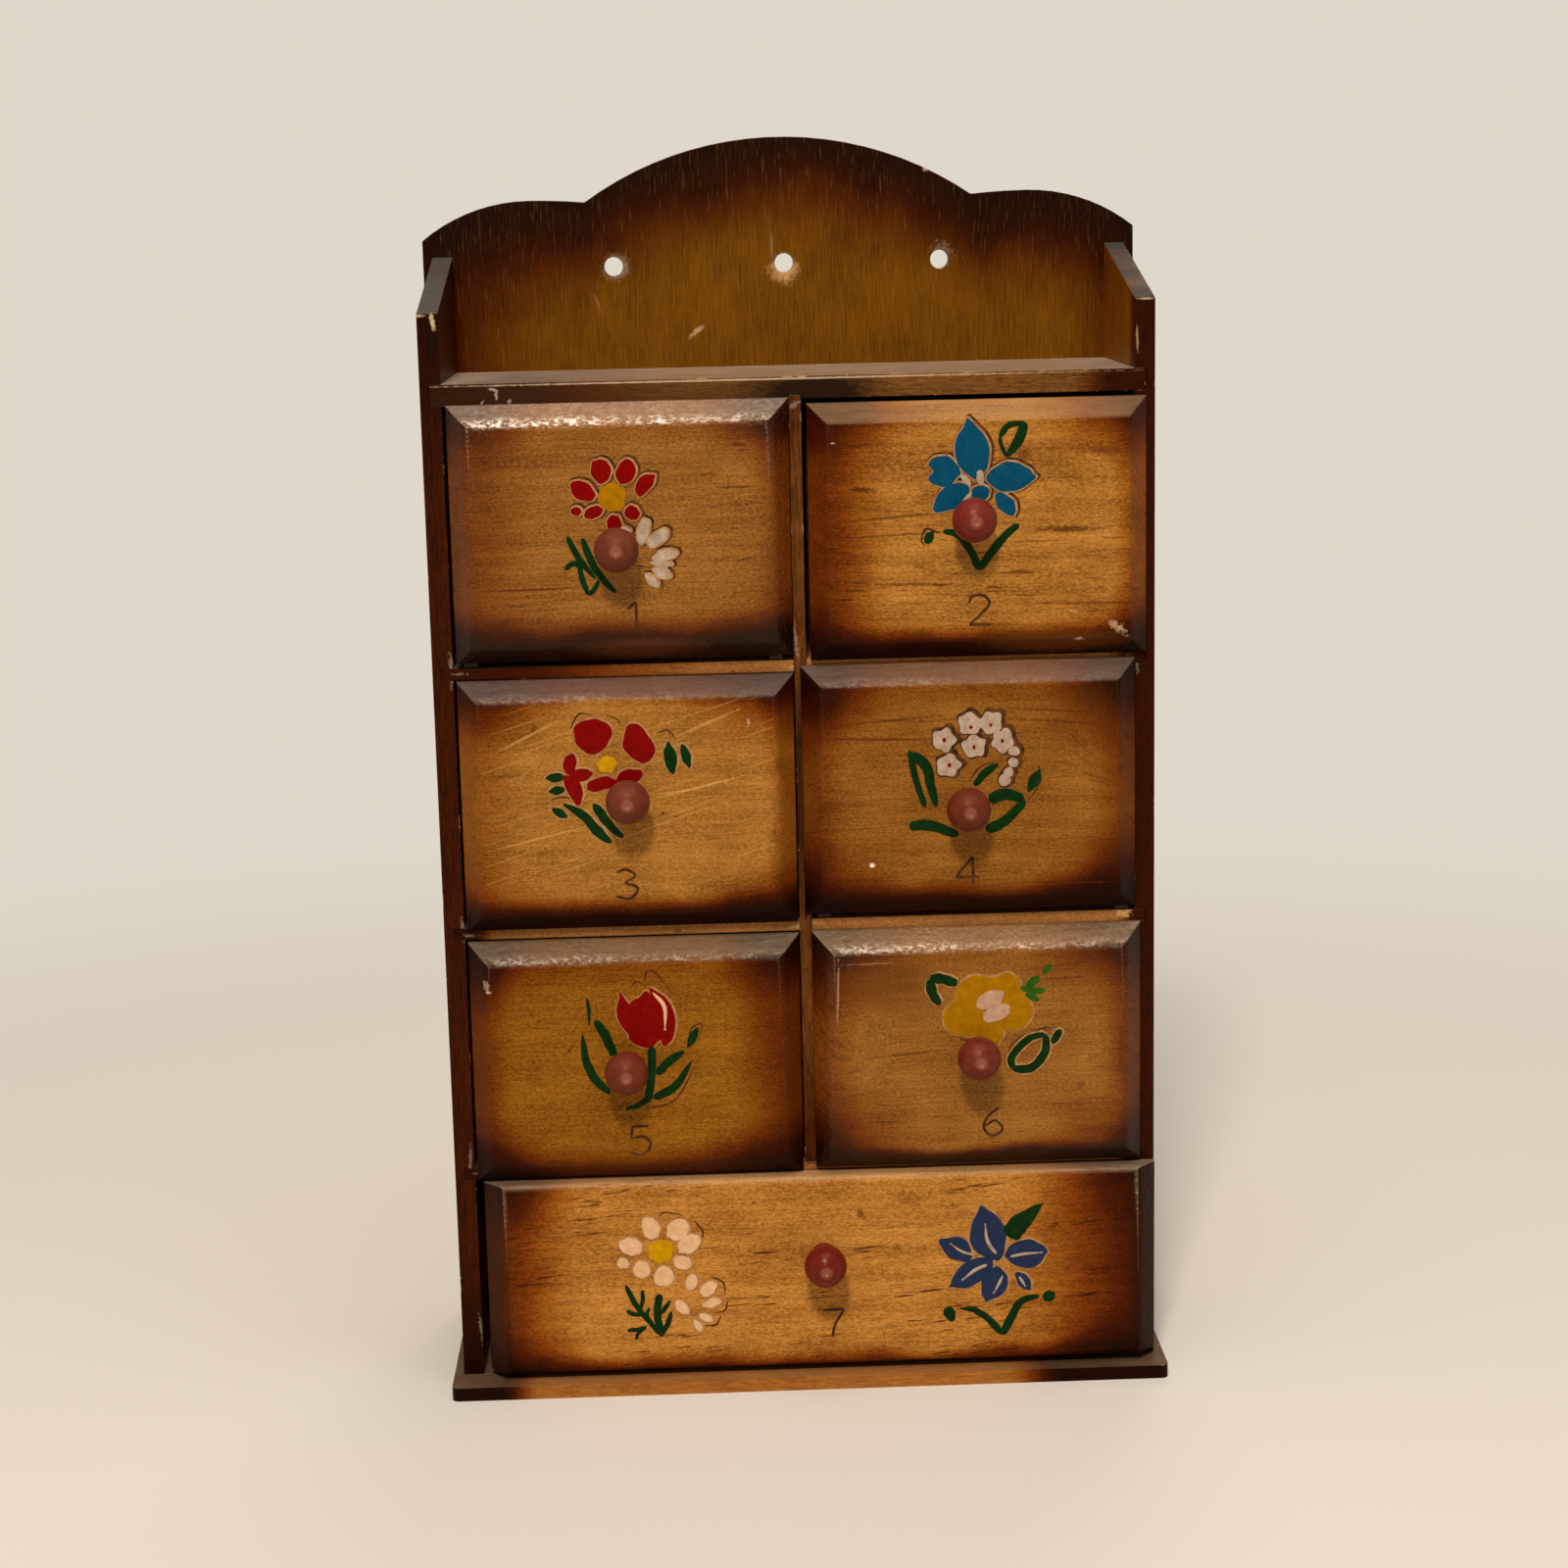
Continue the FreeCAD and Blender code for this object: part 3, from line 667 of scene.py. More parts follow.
@dataclass(frozen=True)
class BackFinish(Stained):
    """Amber-brown stain on plywood with upright grain, sprayed near black at its outline.

    The open pores show as fine pale flecks along the grain.  The rear is only stained.
    """

    mark_depth: float = 3.0
    outline: "BackOutline | None" = None   # the arcs that the spray follows

    def material(self) -> bpy.types.Material:
        """Draw up the finish.

        Returns:
            The material.
        """
        sheet = self.start(self.block.centre)
        colour = self.stained(sheet)
        pores = sheet.patches(sheet.place, (0.3, 1.0, 5.0))
        pores = sheet.add("MapRange", pores, 0.6, 0.76, 0.0, 0.2)
        colour = sheet.add("MixRGB", pores, colour, "#a5713c")
        y = sheet.add("SeparateXYZ", sheet.place, out=1)
        behind = sheet.add("MapRange", y, self.block.half.y - 0.4, self.block.half.y - 0.1)
        colour = sheet.add("MixRGB", behind, colour, self.rear(sheet))
        rough = sheet.add("TexNoise", sheet.place, Scale=0.3, Detail=3.0)
        rough = sheet.add("MapRange", rough, 0.3, 0.7, 0.36, 0.52)
        return self.lacquered(sheet, colour, rough, self.fibres(sheet))

    def clearness(self, sheet: Sheet) -> Value:
        """How clear the lacquer is, from the depth below the outline and the ends.

        Args:
            sheet: The material's sheet.

        Returns:
            The lacquer's clearness.
        """
        x, z = (sheet.add("SeparateXYZ", sheet.place, out=axis) for axis in (0, 2))
        across = sheet.add("Math ADD", x, self.block.centre.x)
        across = sheet.add("Math ABSOLUTE", across)
        height = sheet.add("Math ADD", z, self.block.centre.z)
        line = self.outline
        crest = self.arc_top(sheet, across, 0.0, line.crest_radius, line.crest_z)
        shoulder = self.arc_top(sheet, across, line.shoulder_x, line.shoulder_radius, line.shoulder_z)
        top = sheet.add("Math SMOOTH_MAX", crest, shoulder, 2.0)
        drift = sheet.add("TexNoise", sheet.place, Scale=0.06, Detail=3.0)
        drift = sheet.add("Math MULTIPLY_ADD", drift, 14.0, -7.0)
        depth = sheet.add("Math ADD", sheet.add("Math SUBTRACT", top, height), drift)
        below = sheet.add("MapRange SMOOTHSTEP", depth, 0.0, 33.0, 0.06, 1.0)
        return sheet.add("Math MULTIPLY", below, super().clearness(sheet))

    def rear(self, sheet: Sheet) -> Value:
        """Draw the rear: thin stain with no lacquer, so its broad upright figure shows.

        Args:
            sheet: The material's sheet.

        Returns:
            The colour.
        """
        figure = Figure(Grain.UPRIGHT, 8.0, ring_gap=11.0, wander=2.2, rings=0.75, bands=1.6,
                        fibre=0.6, dashes=0.6, dash_size=(9.0, 0.6), pore=(6.0, 0.5))
        light, lines = figure.draw(sheet)
        wood = sheet.add("MixRGB", light, "#6a4526", "#a97c4c")
        wood = sheet.add("MixRGB", lines, wood, "#4a2a13")
        blotch = sheet.add("TexNoise", sheet.place, Scale=0.03, Detail=4.0)
        blotch = sheet.add("MapRange", blotch, 0.42, 0.68, 0.0, 0.5)
        wood = sheet.add("MixRGB", blotch, wood, "#5a3a20")
        x = sheet.add("Math ABSOLUTE", sheet.add("SeparateXYZ", sheet.place))
        edge = sheet.add("MapRange SMOOTHSTEP", x, self.block.half.x - 9.0, self.block.half.x - 1.0, 0.0,
                         0.8)
        return sheet.add("MixRGB", edge, wood, "#38200f")

    @staticmethod
    def arc_top(sheet: Sheet, across: Value, middle: float, radius: float, peak: float) -> Value:
        """Height of one arc of the outline above a place.

        Args:
            sheet: The material's sheet.
            across: Distance from mid-width in millimetres.
            middle: Where the arc peaks.
            radius: The arc's radius.
            peak: The arc's highest point.

        Returns:
            The height, or the arc's centre height where it doesn't reach.
        """
        away = sheet.add("Math SUBTRACT", across, middle)
        away = sheet.add("Math POWER", sheet.add("Math ABSOLUTE", away), 2.0)
        rise = sheet.add("Math SUBTRACT", radius ** 2, away)
        rise = sheet.add("Math SQRT", sheet.add("Math MAXIMUM", rise, 0.0))
        return sheet.add("Math ADD", rise, peak - radius)


@dataclass(frozen=True)
class BareSoftwood(Finish):
    """Unfinished pine, planed thin for drawer boxes: dry, pale and a little furry."""

    name: str = "bare_pine"
    grain: Grain = Grain.ACROSS

    def material(self) -> bpy.types.Material:
        """Draw up the finish.

        Returns:
            The material.
        """
        sheet = self.start(Vector())
        figure = Figure(grain=self.grain, seed=7.0, ring_gap=4.0, rings=0.5, dashes=0.2)
        light, streaks = figure.draw(sheet)
        wood = sheet.add("MixRGB", light, "#a97a48", "#dcb684")
        wood = sheet.add("MixRGB", streaks, wood, "#8a5526")
        # the walls are made nearly black for their first few millimetres behind the front
        inward = sheet.add("SeparateXYZ", sheet.place, out=1)
        sprayed = sheet.add("MapRange SMOOTHSTEP", inward, 2.0, 9.0, 0.96, 0.0)
        wood = sheet.add("MixRGB", sprayed, wood, "#1c0d06")
        bump = sheet.add("Bump", Strength=0.4, Distance=0.1 * MM, Height=light)
        return sheet.finish(sheet.add("BsdfPrincipled", Base_Color=wood, Roughness=0.72, Normal=bump,
                                      Specular_IOR_Level=0.3))


@dataclass(frozen=True)
class KnobPaint(Finish):
    """Brush-painted brick-red enamel on a turned beech ball, dulled by handling.

    Lathe rings show through, the tip is rubbed paler, and dust sits in the paint.
    """

    name: str
    block: Block
    body: str
    rubbed: str
    roughness: float = 0.42
    seed: float = 0.0

    def material(self) -> bpy.types.Material:
        """Draw up the finish.

        Returns:
            The material.
        """
        sheet = self.start(self.block.centre)
        moved = sheet.add("VectorMath ADD", sheet.place, (self.seed * 7.0,) * 3)
        x, y, z = (sheet.add("SeparateXYZ", sheet.place, out=axis) for axis in range(3))
        level = sheet.add("CombineXYZ", x, 0.0, z)
        axis_gap = sheet.add("VectorMath LENGTH", level, out=1)
        blotch = sheet.add("TexNoise", moved, Scale=0.35, Detail=4.0, Roughness=0.65)
        pale = sheet.add("MapRange", blotch, 0.35, 0.75, 0.0, 0.8)
        colour = sheet.add("MixRGB", pale, self.body, self.rubbed)
        grit = sheet.add("TexNoise", moved, Scale=2.4, Detail=3.0, Roughness=0.8)
        grit = sheet.add("MapRange", grit, 0.58, 0.72, 0.0, 0.42)
        colour = sheet.add("MixRGB", grit, colour, "#a4705a")
        front = sheet.add("MapRange", y, -self.block.half.y + 2.2, -self.block.half.y + 0.2)
        tip = sheet.add("MapRange", axis_gap, 0.4, 1.9, 0.65, 0.0)
        tip = sheet.add("Math MULTIPLY", tip, front)
        colour = sheet.add("MixRGB", tip, colour, "#a9705c")
        rings = sheet.add("Math SINE", sheet.add("Math MULTIPLY", axis_gap, 9.0))
        rings = sheet.add("Math MULTIPLY", rings, sheet.add("MapRange", axis_gap, 3.6, 1.5))
        bump = sheet.add("Bump", Strength=0.35, Distance=0.05 * MM, Height=rings)
        bump = sheet.add("Bump", Strength=0.3, Distance=0.12 * MM, Height=blotch, Normal=bump)
        rough = sheet.add("Math MULTIPLY_ADD", grit, 0.5, self.roughness)
        return sheet.finish(sheet.add("BsdfPrincipled", Base_Color=colour, Roughness=rough, Normal=bump,
                                      IOR=1.5, Specular_IOR_Level=0.24, Specular_Tint=LACQUER_TINT))


@dataclass(frozen=True)
class BrushEnamel(Finish):
    """Hobby enamel laid on thick by hand: glossy, crowned, a little uneven in tone."""

    name: str
    colour: str
    dark: str
    roughness: float = 0.32

    def material(self) -> bpy.types.Material:
        """Draw up the finish.

        Returns:
            The material.
        """
        sheet = self.start(Vector())
        pull = sheet.add("TexNoise", sheet.place, Scale=0.5, Detail=4.0, Roughness=0.6)
        mix = sheet.add("MapRange", pull, 0.3, 0.7)
        colour = sheet.add("MixRGB", mix, self.dark, self.colour)
        bump = sheet.add("Bump", Strength=0.25, Distance=0.1 * MM, Height=pull)
        return sheet.finish(sheet.add("BsdfPrincipled", Base_Color=colour, Roughness=self.roughness,
                                      Normal=bump, Specular_IOR_Level=0.08, Specular_Tint=LACQUER_TINT))


@dataclass(frozen=True)
class PressedLine(Finish):
    """A line burnt or pressed into the front: matt, and broken where the stamp was light."""

    name: str
    colour: str
    faded: str

    def material(self) -> bpy.types.Material:
        """Draw up the finish.

        Returns:
            The material.
        """
        sheet = self.start(Vector())
        bite = sheet.add("TexNoise", sheet.place, Scale=0.45, Detail=5.0, Roughness=0.75)
        bite = sheet.add("MapRange", bite, 0.42, 0.62)
        colour = sheet.add("MixRGB", bite, self.colour, self.faded)
        return sheet.finish(sheet.add("BsdfPrincipled", Base_Color=colour, Roughness=0.6,
                                      Specular_IOR_Level=0.15))


@dataclass(frozen=True)
class SmallMetal(Finish):
    """Plain metal of small fixings: spotted with age and evenly scratched."""

    name: str
    colour: str
    spots: str
    roughness: float

    def material(self) -> bpy.types.Material:
        """Draw up the finish.

        Returns:
            The material.
        """
        sheet = self.start(Vector())
        age = sheet.add("TexNoise", sheet.place, Scale=1.3, Detail=5.0, Roughness=0.7)
        age = sheet.add("MapRange", age, 0.4, 0.65)
        colour = sheet.add("MixRGB", age, self.colour, self.spots)
        rough = sheet.add("Math MULTIPLY_ADD", age, 0.25, self.roughness)
        return sheet.finish(sheet.add("BsdfPrincipled", Base_Color=colour, Metallic=1.0, Roughness=rough))


# ---- Making meshes ---------------------------------------------------------------------

def merged_copy(node: str) -> bmesh.types.BMesh:
    """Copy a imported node's mesh with its loose triangles joined into whole faces.

    Args:
        node: The node's name.

    Returns:
        The copy, ready to be worked on.
    """
    mesh = bmesh.new()
    mesh.from_mesh(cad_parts[node].data)
    bmesh.ops.remove_doubles(mesh, verts=mesh.verts, dist=WELD)
    bmesh.ops.dissolve_limit(mesh, angle_limit=FLAT_ANGLE, use_dissolve_boundaries=False,
                             verts=mesh.verts, edges=mesh.edges)
    return mesh


def round_over(mesh: bmesh.types.BMesh, edges: Sequence[bmesh.types.BMEdge], width: float,
               segments: int) -> None:
    """Round some edges over, each from a width in metres either side of it."""
    bmesh.ops.bevel(mesh, geom=edges, offset=width, offset_type="OFFSET", affect="EDGES",
                    segments=segments, profile=0.5, material=-1, clamp_overlap=True)


def sharp_edges(mesh: bmesh.types.BMesh, shortest: float) -> list[bmesh.types.BMEdge]:
    """A board's arrises, without the facets of its holes, which are shorter than shortest."""
    return [edge for edge in mesh.edges if edge.is_manifold
            and edge.calc_face_angle() > SHARP_ANGLE and edge.calc_length() > shortest]


def new_piece(name: str, mesh: bmesh.types.BMesh, material: bpy.types.Material, body: str) -> bpy.types.Object:
    """Turn a finished mesh into a smooth piece with crisp flats that rides on a body.

    Args:
        name: The piece's name.
        mesh: Its mesh, in place; it is used up.
        material: Its finish.
        body: The body it moves with.

    Returns:
        The piece.
    """
    data = bpy.data.meshes.new(name)
    for face in mesh.faces:
        face.smooth = True
    for edge in mesh.edges:
        edge.smooth = not (edge.is_manifold and edge.calc_face_angle() > SHARP_ANGLE)
    mesh.to_mesh(data)
    mesh.free()
    data.materials.append(material)
    piece = bpy.data.objects.new(name, data)
    bpy.context.scene.collection.objects.link(piece)
    piece.modifiers.new("flat_faces", "WEIGHTED_NORMAL").keep_sharp = True
    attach(piece, body)
    log.info("%s: %d faces", name, len(data.polygons))
    return piece


# ---- Case ------------------------------------------------------------------------------

@dataclass(frozen=True)
class BackOutline:
    """The arcs of the back panel's top, in millimetres above the base's underside."""

    crest_z: float
    crest_radius: float
    shoulder_x: float
    shoulder_z: float
    shoulder_radius: float

    @classmethod
    def of(cls, block: Block, shelf_top: float) -> "BackOutline":
        """Work the arcs out from the panel's box and the shelf's height.

        Args:
            block: The panel's box.
            shelf_top: Height of the top shelf's upper face.

        Returns:
            The outline.
        """
        crest_z = block.centre.z + block.half.z
        crest_half, crest_rise = 49.6, 15.4
        shoulder_x, shoulder_drop = 64.0, 9.6
        span = block.half.x - shoulder_x
        return cls(crest_z=crest_z,
                   crest_radius=(crest_half ** 2 + crest_rise ** 2) / (2 * crest_rise),
                   shoulder_x=shoulder_x, shoulder_z=shelf_top + 43.2,
                   shoulder_radius=(span ** 2 + shoulder_drop ** 2) / (2 * shoulder_drop))


@dataclass
class Case:
    """The boards that hold the drawers, and the nails that hold the boards."""

    arris: float = 0.35 * MM       # how far the sanded arrises are rounded
    shortest_edge: float = 0.3 * MM

    def finishes(self) -> dict[str, tuple[Stained, str]]:
        """Pair each board with its finish and with the name of a material slot.

        Returns:
            Finish and slot by the board's node.
        """
        shelf = Block.of("top_shelf")
        upright = Figure(Grain.UPRIGHT, 1.0, rings=0.2, dashes=0.3, fibres=0.8, pore=(4.0, 0.4))
        level = Figure(Grain.ACROSS, 3.0, rings=0.15, dashes=0.25, fibres=0.8, pore=(2.5, 0.4))
        pale_chip, grey_chip, bare = "#b89a74", "#8f7d68", "#c79a66"
        made: dict[str, tuple[Stained, str]] = {
            # the grey of the dust on both sides' top slopes is dust and also a painted sheen
            "left_side": (BoardFinish(upright,
                Shading(bottom=Shade(0.6, 4, 30), top=Shade(0.7, 12, 60), seed=1, front=Shade(0.6, 1, 9)),
                "#7a4413", "#37190a", name="stained_left_side", dust=0.62, dust_colour="#504e49",
                marks=(
                    Mark(-85.2, 271.3, 1.2, 4.5, "#c9b08c", 8, 0.9, 0.3),
                    Mark(-88.4, 272.6, 3.2, 0.7, pale_chip, 0, 0.9, 0.3),
                    Mark(-84.2, 16, 0.8, 7, grey_chip, 4, 0.6, 0.9),
                    Mark(-85, 61, 0.7, 7, grey_chip, -4, 0.6, 0.9),
                    Mark(-84.4, 121, 0.8, 6, grey_chip, 3, 0.6, 0.9),
                    Mark(-84.4, 186.4, 1.2, 7, grey_chip, 0, 0.6, 0.9))), "side_wood"),
            # painted light: the right side's pale and deep are lighter than the left's because its inner face
            # is lit; its outer face keeps the left's stain
            "right_side": (BoardFinish(upright,
                Shading(bottom=Shade(0.6, 4, 30), top=Shade(0.35, 4, 50), seed=2,
                        front=Shade(0.88, 1.5, 10)),
                "#b87a1c", "#744410", name="stained_right_side", wear=0.55, dust=0.84,
                dust_colour="#3f3e3a", outer=("#37190a", "#7a4413"), marks=(
                    Mark(86.5, 272.7, 4, 0.6, pale_chip, 0, 0.9, 0.3),
                    Mark(84.6, 263, 0.6, 6, pale_chip, 2, 0.6),
                    Mark(84.6, 252.5, 1, 3, pale_chip, 20, 0.5),
                    Mark(84.4, 184.5, 0.8, 6, grey_chip, 8, 0.6, 0.9))), "side_wood"),
            "top_shelf": (BoardFinish(level,
                Shading(left=Shade(0.86, 18, 60), right=Shade(0.75, 7, 20), seed=3), "#855928", "#4e2f12",
                name="stained_top_shelf", wear=0.75, dust=0.66, dust_colour="#b09880",
                marks=(
                    Mark(-40, 252, 110, 16, "#3b2414", 0, 0.55, 0.15),
                    Mark(6, 252.4, 36, 12, "#150b07", 0, 0.95, 0.15),
                    # a pale line along the front top arris: rubbed lacquer and also a painted glint
                    Mark(-8, 255.6, 166, 0.5, "#cbae90", 0, 0.8, 0.3),
                    Mark(-71.5, 254.7, 2.2, 0.7, "#a99a88", -20, 0.8, 0.9),
                    Mark(-70.6, 253.2, 0.7, 2.2, "#a99a88", 10, 0.8, 0.9),
                    Mark(-74, 251.6, 1.4, 0.6, "#a99a88", 50, 0.7, 0.9),
                    Mark(-67.5, 251.8, 1, 0.8, "#a99a88", 0, 0.7, 0.9))), "shelf_wood"),
            "centre_divider": (BoardFinish(upright,
                Shading(bottom=Shade(0.5, 4, 40), top=Shade(0.2, 2, 20), seed=9), "#7d4a1c", "#3b1c0a",
                name="stained_divider", wear=0.6, dust=0.3, marks=(
                    # painted shade: the divider's front edge is made darker down the middle row, in the narrow
                    # gap between the two fronts
                    Mark(1.5, 153, 8, 62, "#2a1207", 0, 0.78, 0.2),
                    Mark(1.3, 249.4, 3.4, 1.2, grey_chip, 30, 0.7, 0.9),
                    Mark(0.4, 191.5, 1, 9, grey_chip, 6, 0.7, 0.9),
                    Mark(2.6, 124.5, 0.9, 6, grey_chip, -8, 0.6, 0.9))), "shelf_wood"),
            "base_board": (BoardFinish(level,
                Shading(left=Shade(0.99, 13, 24), right=Shade(0.99, 26, 42), seed=11, wobble=1.5),
                "#b97836", "#84501c", name="stained_base", wear=0.35, dust=0.5, dust_colour="#8a6c50"),
                "base_wood"),
            "back_panel": (BackFinish(
                Figure(Grain.UPRIGHT, 4, ring_gap=9, rings=0.1, bands=0.35, fibre=0.35, fibres=0.8,
                       dashes=0.1, pore=(7, 0.4), pore_depth=1.7),
                Shading(left=Shade(0.6, 0, 40), right=Shade(0.55, 0, 18), wobble=3, seed=4), "#805009",
                "#4f2f05", name="stained_back_panel", marks=(
                    Mark(-42, 282.2, 6.6, 6, "#9c8a74", 20, 0.75, 0.4),
                    Mark(1.1, 280.6, 7.4, 6.6, bare, 0, 0.9, 0.4),
                    Mark(-1.9, 286.5, 0.9, 7, "#8d6a42", 0, 0.7, 0.3),
                    Mark(41.9, 284.2, 5.4, 4.6, "#7d6a54", -30, 0.6, 0.8),
                    Mark(-21.9, 265.3, 5.6, 1.2, "#c39a74", 38, 0.9, 0.5),
                    Mark(-47.1, 273.2, 0.8, 5.6, "#8f6440", 20, 0.6),
                    Mark(38.1, 305.1, 1.6, 1.2, "#a99a88")),
                outline=BackOutline.of(Block.of("back_panel"), shelf.centre.z + shelf.half.z)),
                "back_wood")}
        chips = {
            "upper_row_shelf": (
                Mark(0.6, 185.2, 5, 0.9, pale_chip, 10, 0.75, 0.8),
                Mark(-82.5, 185.6, 3.6, 0.8, grey_chip, 0, 0.7, 0.8),
                Mark(82.4, 185.9, 2.4, 0.9, grey_chip, 0, 0.6, 0.8)),
            "middle_row_shelf": (
                Mark(0, 119.6, 7, 1, pale_chip, 8, 0.75, 0.8),
                Mark(-82.6, 119.6, 3.6, 0.9, grey_chip, 0, 0.6, 0.8),
                Mark(81.4, 120.4, 3.4, 2, "#dcb878", 8, 0.95, 0.9),
                Mark(-31, 119.2, 1.8, 2.4, "#6b3a14", 0, 0.7)),
            "lower_row_shelf": (
                Mark(-82.8, 57.4, 3.4, 0.8, grey_chip, 0, 0.6, 0.8),
                Mark(1, 57.6, 4, 1.4, "#2b1a14", 0, 0.6))}
        # how dark each thin shelf is sprayed at its left and right end, and how far in
        ends = {
            "upper_row_shelf": (Shade(0.88, 4, 80), Shade(0.9, 3, 10)),
            "middle_row_shelf": (Shade(0.92, 4, 11), Shade(0.88, 2, 8)),
            "lower_row_shelf": (Shade(0.92, 4, 11), Shade(0.9, 3, 9))}
        for seed, (name, marks) in enumerate(chips.items(), 5):
            made[name] = (BoardFinish(Figure(Grain.ACROSS, float(seed), rings=0.15, dashes=0.2),
                Shading(*ends[name], seed=float(seed)), "#b97e45", "#774b24", name="stained_" + name,
                wear=0.6, dust=0.3, marks=marks), "shelf_wood")
        return made

    def board(self, node: str, finish: Stained) -> bpy.types.Object:
        """Make one board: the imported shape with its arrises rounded.

        Args:
            node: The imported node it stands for.
            finish: Its finish.

        Returns:
            The board.
        """
        mesh = merged_copy(node)
        round_over(mesh, sharp_edges(mesh, self.shortest_edge), self.arris, 2)
        material = replace(finish, block=Block.of(node)).material()
        piece = new_piece(node + "_board", mesh, material, "case")
        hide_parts(node)
        return piece

    def build(self) -> None:
        """Make the boards and dress the nails."""
        for node, (finish, slot) in self.finishes().items():
            self.board(node, finish)
        steel = SmallMetal("wire_nail_steel", "#8b8884", "#5a4a3e", 0.45).material()
        for node in ("back_nails", "base_nails"):
            dress(node, steel)


def dress(node: str, material: bpy.types.Material) -> None:
    """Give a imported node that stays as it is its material.

    Args:
        node: The node's name.
        material: Its finish.
    """
    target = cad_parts[node]
    target.data.materials.clear()
    target.data.materials.append(material)
    log.info("%s: dressed in %s", node, material.name)


# ---- Drawers ---------------------------------------------------------------------------

@dataclass
class Knob:
    """A turned ball on a short neck, with the lathe's mark at its tip."""

    drawer: str
    body: str
    rubbed: str
    roughness: float = 0.42
    seed: float = 0.0
    neck_radius: float = 3.1
    foot_radius: float = 3.5
    tip_radius: float = 0.9
    tip_depth: float = 0.35
    steps: int = 56
    rise: int = 26                 # points along the ball's outline

    def profile(self, radius: float, reach: float) -> list[tuple[float, float]]:
        """Half outline as distances from the front's face and from the knob's axis.

        Args:
            radius: The ball's radius in millimetres.
            reach: The knob's whole length in millimetres.

        Returns:
            Pairs of (distance from the face, radius).
        """
        centre = reach - radius
        start = math.asin(self.neck_radius / radius)
        end = math.asin(self.tip_radius / radius)
        points = [(0.0, self.foot_radius), (0.5, self.foot_radius - 0.2), (1.1, self.neck_radius)]
        for step in range(self.rise + 1):
            angle = math.pi - start - (math.pi - start - end) * step / self.rise
            points.append((centre + radius * math.cos(angle), radius * math.sin(angle)))
        rim = points[-1][0]
        points += [(rim - 0.12, self.tip_radius * 0.72), (rim - self.tip_depth, 0.34),
                   (rim - self.tip_depth * 0.5, 0.0)]
        return points

    def build(self) -> bpy.types.Object:
        """Spin the outline round its axis and dress the knob.

        Returns:
            The knob.
        """
        node = self.drawer + "_knob"
        block = Block.of(node)
        radius, reach = block.half.x, block.half.y * 2
        mesh = bmesh.new()
        face_y = block.centre.y + block.half.y
        turned = [mesh.verts.new(((block.centre.x + r) * MM, (face_y - out) * MM,
                                  block.centre.z * MM))
                  for out, r in self.profile(radius, reach)]
        edges = [mesh.edges.new(pair) for pair in zip(turned, turned[1:])]
        bmesh.ops.spin(mesh, geom=[*turned, *edges], cent=block.centre * MM, axis=(0.0, 1.0, 0.0),
                       dvec=(0.0, 0.0, 0.0), angle=2 * math.pi, steps=self.steps,
                       use_merge=True, use_duplicate=False)
        bmesh.ops.remove_doubles(mesh, verts=mesh.verts, dist=WELD)
        bmesh.ops.holes_fill(mesh, edges=mesh.edges, sides=0)
        bmesh.ops.recalc_face_normals(mesh, faces=mesh.faces)
        finish = KnobPaint("enamel_" + node, block, self.body, self.rubbed, self.roughness, self.seed)
        piece = new_piece(node + "_ball", mesh, finish.material(), self.drawer)
        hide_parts(node)
        return piece


@dataclass
class DrawerFront:
    """A bevelled drawer front with worn shoulders."""

    drawer: str
    shoulder: float                # rounding where the bevels meet the face, millimetres
    finish: FrontFinish
    shortest_edge: float = 1.3 * MM
    edge: float = 0.3              # rounding of the mitres and of the square edge

    def build(self) -> bpy.types.Object:
        """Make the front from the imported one, with its shoulders and edges rounded.

        Returns:
            The front.
        """
        node = self.drawer + "_front"
        block = Block.of(node)
        mesh = merged_copy(node)
        face_y = (block.centre.y - block.half.y) * MM
        shoulders = [edge for edge in sharp_edges(mesh, self.shortest_edge)
                     if all(abs(vert.co.y - face_y) < WELD for vert in edge.verts)]
        round_over(mesh, shoulders, self.shoulder * MM, 5)
        rear_y = (block.centre.y + block.half.y) * MM
        others = [edge for edge in sharp_edges(mesh, self.shortest_edge)
                  if all(vert.co.y < rear_y - WELD for vert in edge.verts)
                  and not any(abs(vert.co.y - face_y) < WELD for vert in edge.verts)]
        round_over(mesh, others, self.edge * MM, 2)
        finish = replace(self.finish, name="lacquer_" + node, block=block)
        piece = new_piece(node + "_board", mesh, finish.material(), self.drawer)
        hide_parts(node)
        return piece


@dataclass
class DrawerBox:
    """The bare box behind a front, with the screw that holds the knob."""

    drawer: str
    walls: bpy.types.Material
    sides: bpy.types.Material
    brass: bpy.types.Material

    def build(self) -> None:
        """Dress the box's boards and the screw."""
        for part in ("back_wall", "bottom"):
            dress(f"{self.drawer}_{part}", self.walls)
        for part in ("left_wall", "right_wall"):
            dress(f"{self.drawer}_{part}", self.sides)
        dress(f"{self.drawer}_knob_screw", self.brass)


# ---- Painted flowers and pressed numbers -----------------------------------------------

class Tone(Enum):
    """The hobby enamels on the fronts, each as its colour and the colour where it is thin."""

    RED = ("#860103", "#6b0103")
    DEEP_RED = ("#850205", "#6c0205")
    YELLOW = ("#af7802", "#956301")
    EGG_YELLOW = ("#d5a004", "#b78402")
    WHITE = ("#c2ac98", "#9c8470")
    CREAM = ("#e8c096", "#d6a577")
    BLUE = ("#024f6e", "#01405c")
    SLATE = ("#243558", "#1c2a45")
    GREEN = ("#053511", "#031f0a")
    LEAF = ("#2f6414", "#224b0f")
    PINK = ("#cfa68c", "#ae846c")


@dataclass(frozen=True)
class Layer:
    """One film of a dab: how far it spreads past the paint, and how thick it lies.

    All lengths are in millimetres.
    """

    spread: float
    height: float
    crown: float
    shift: tuple[float, float] = (0.0, 0.0)


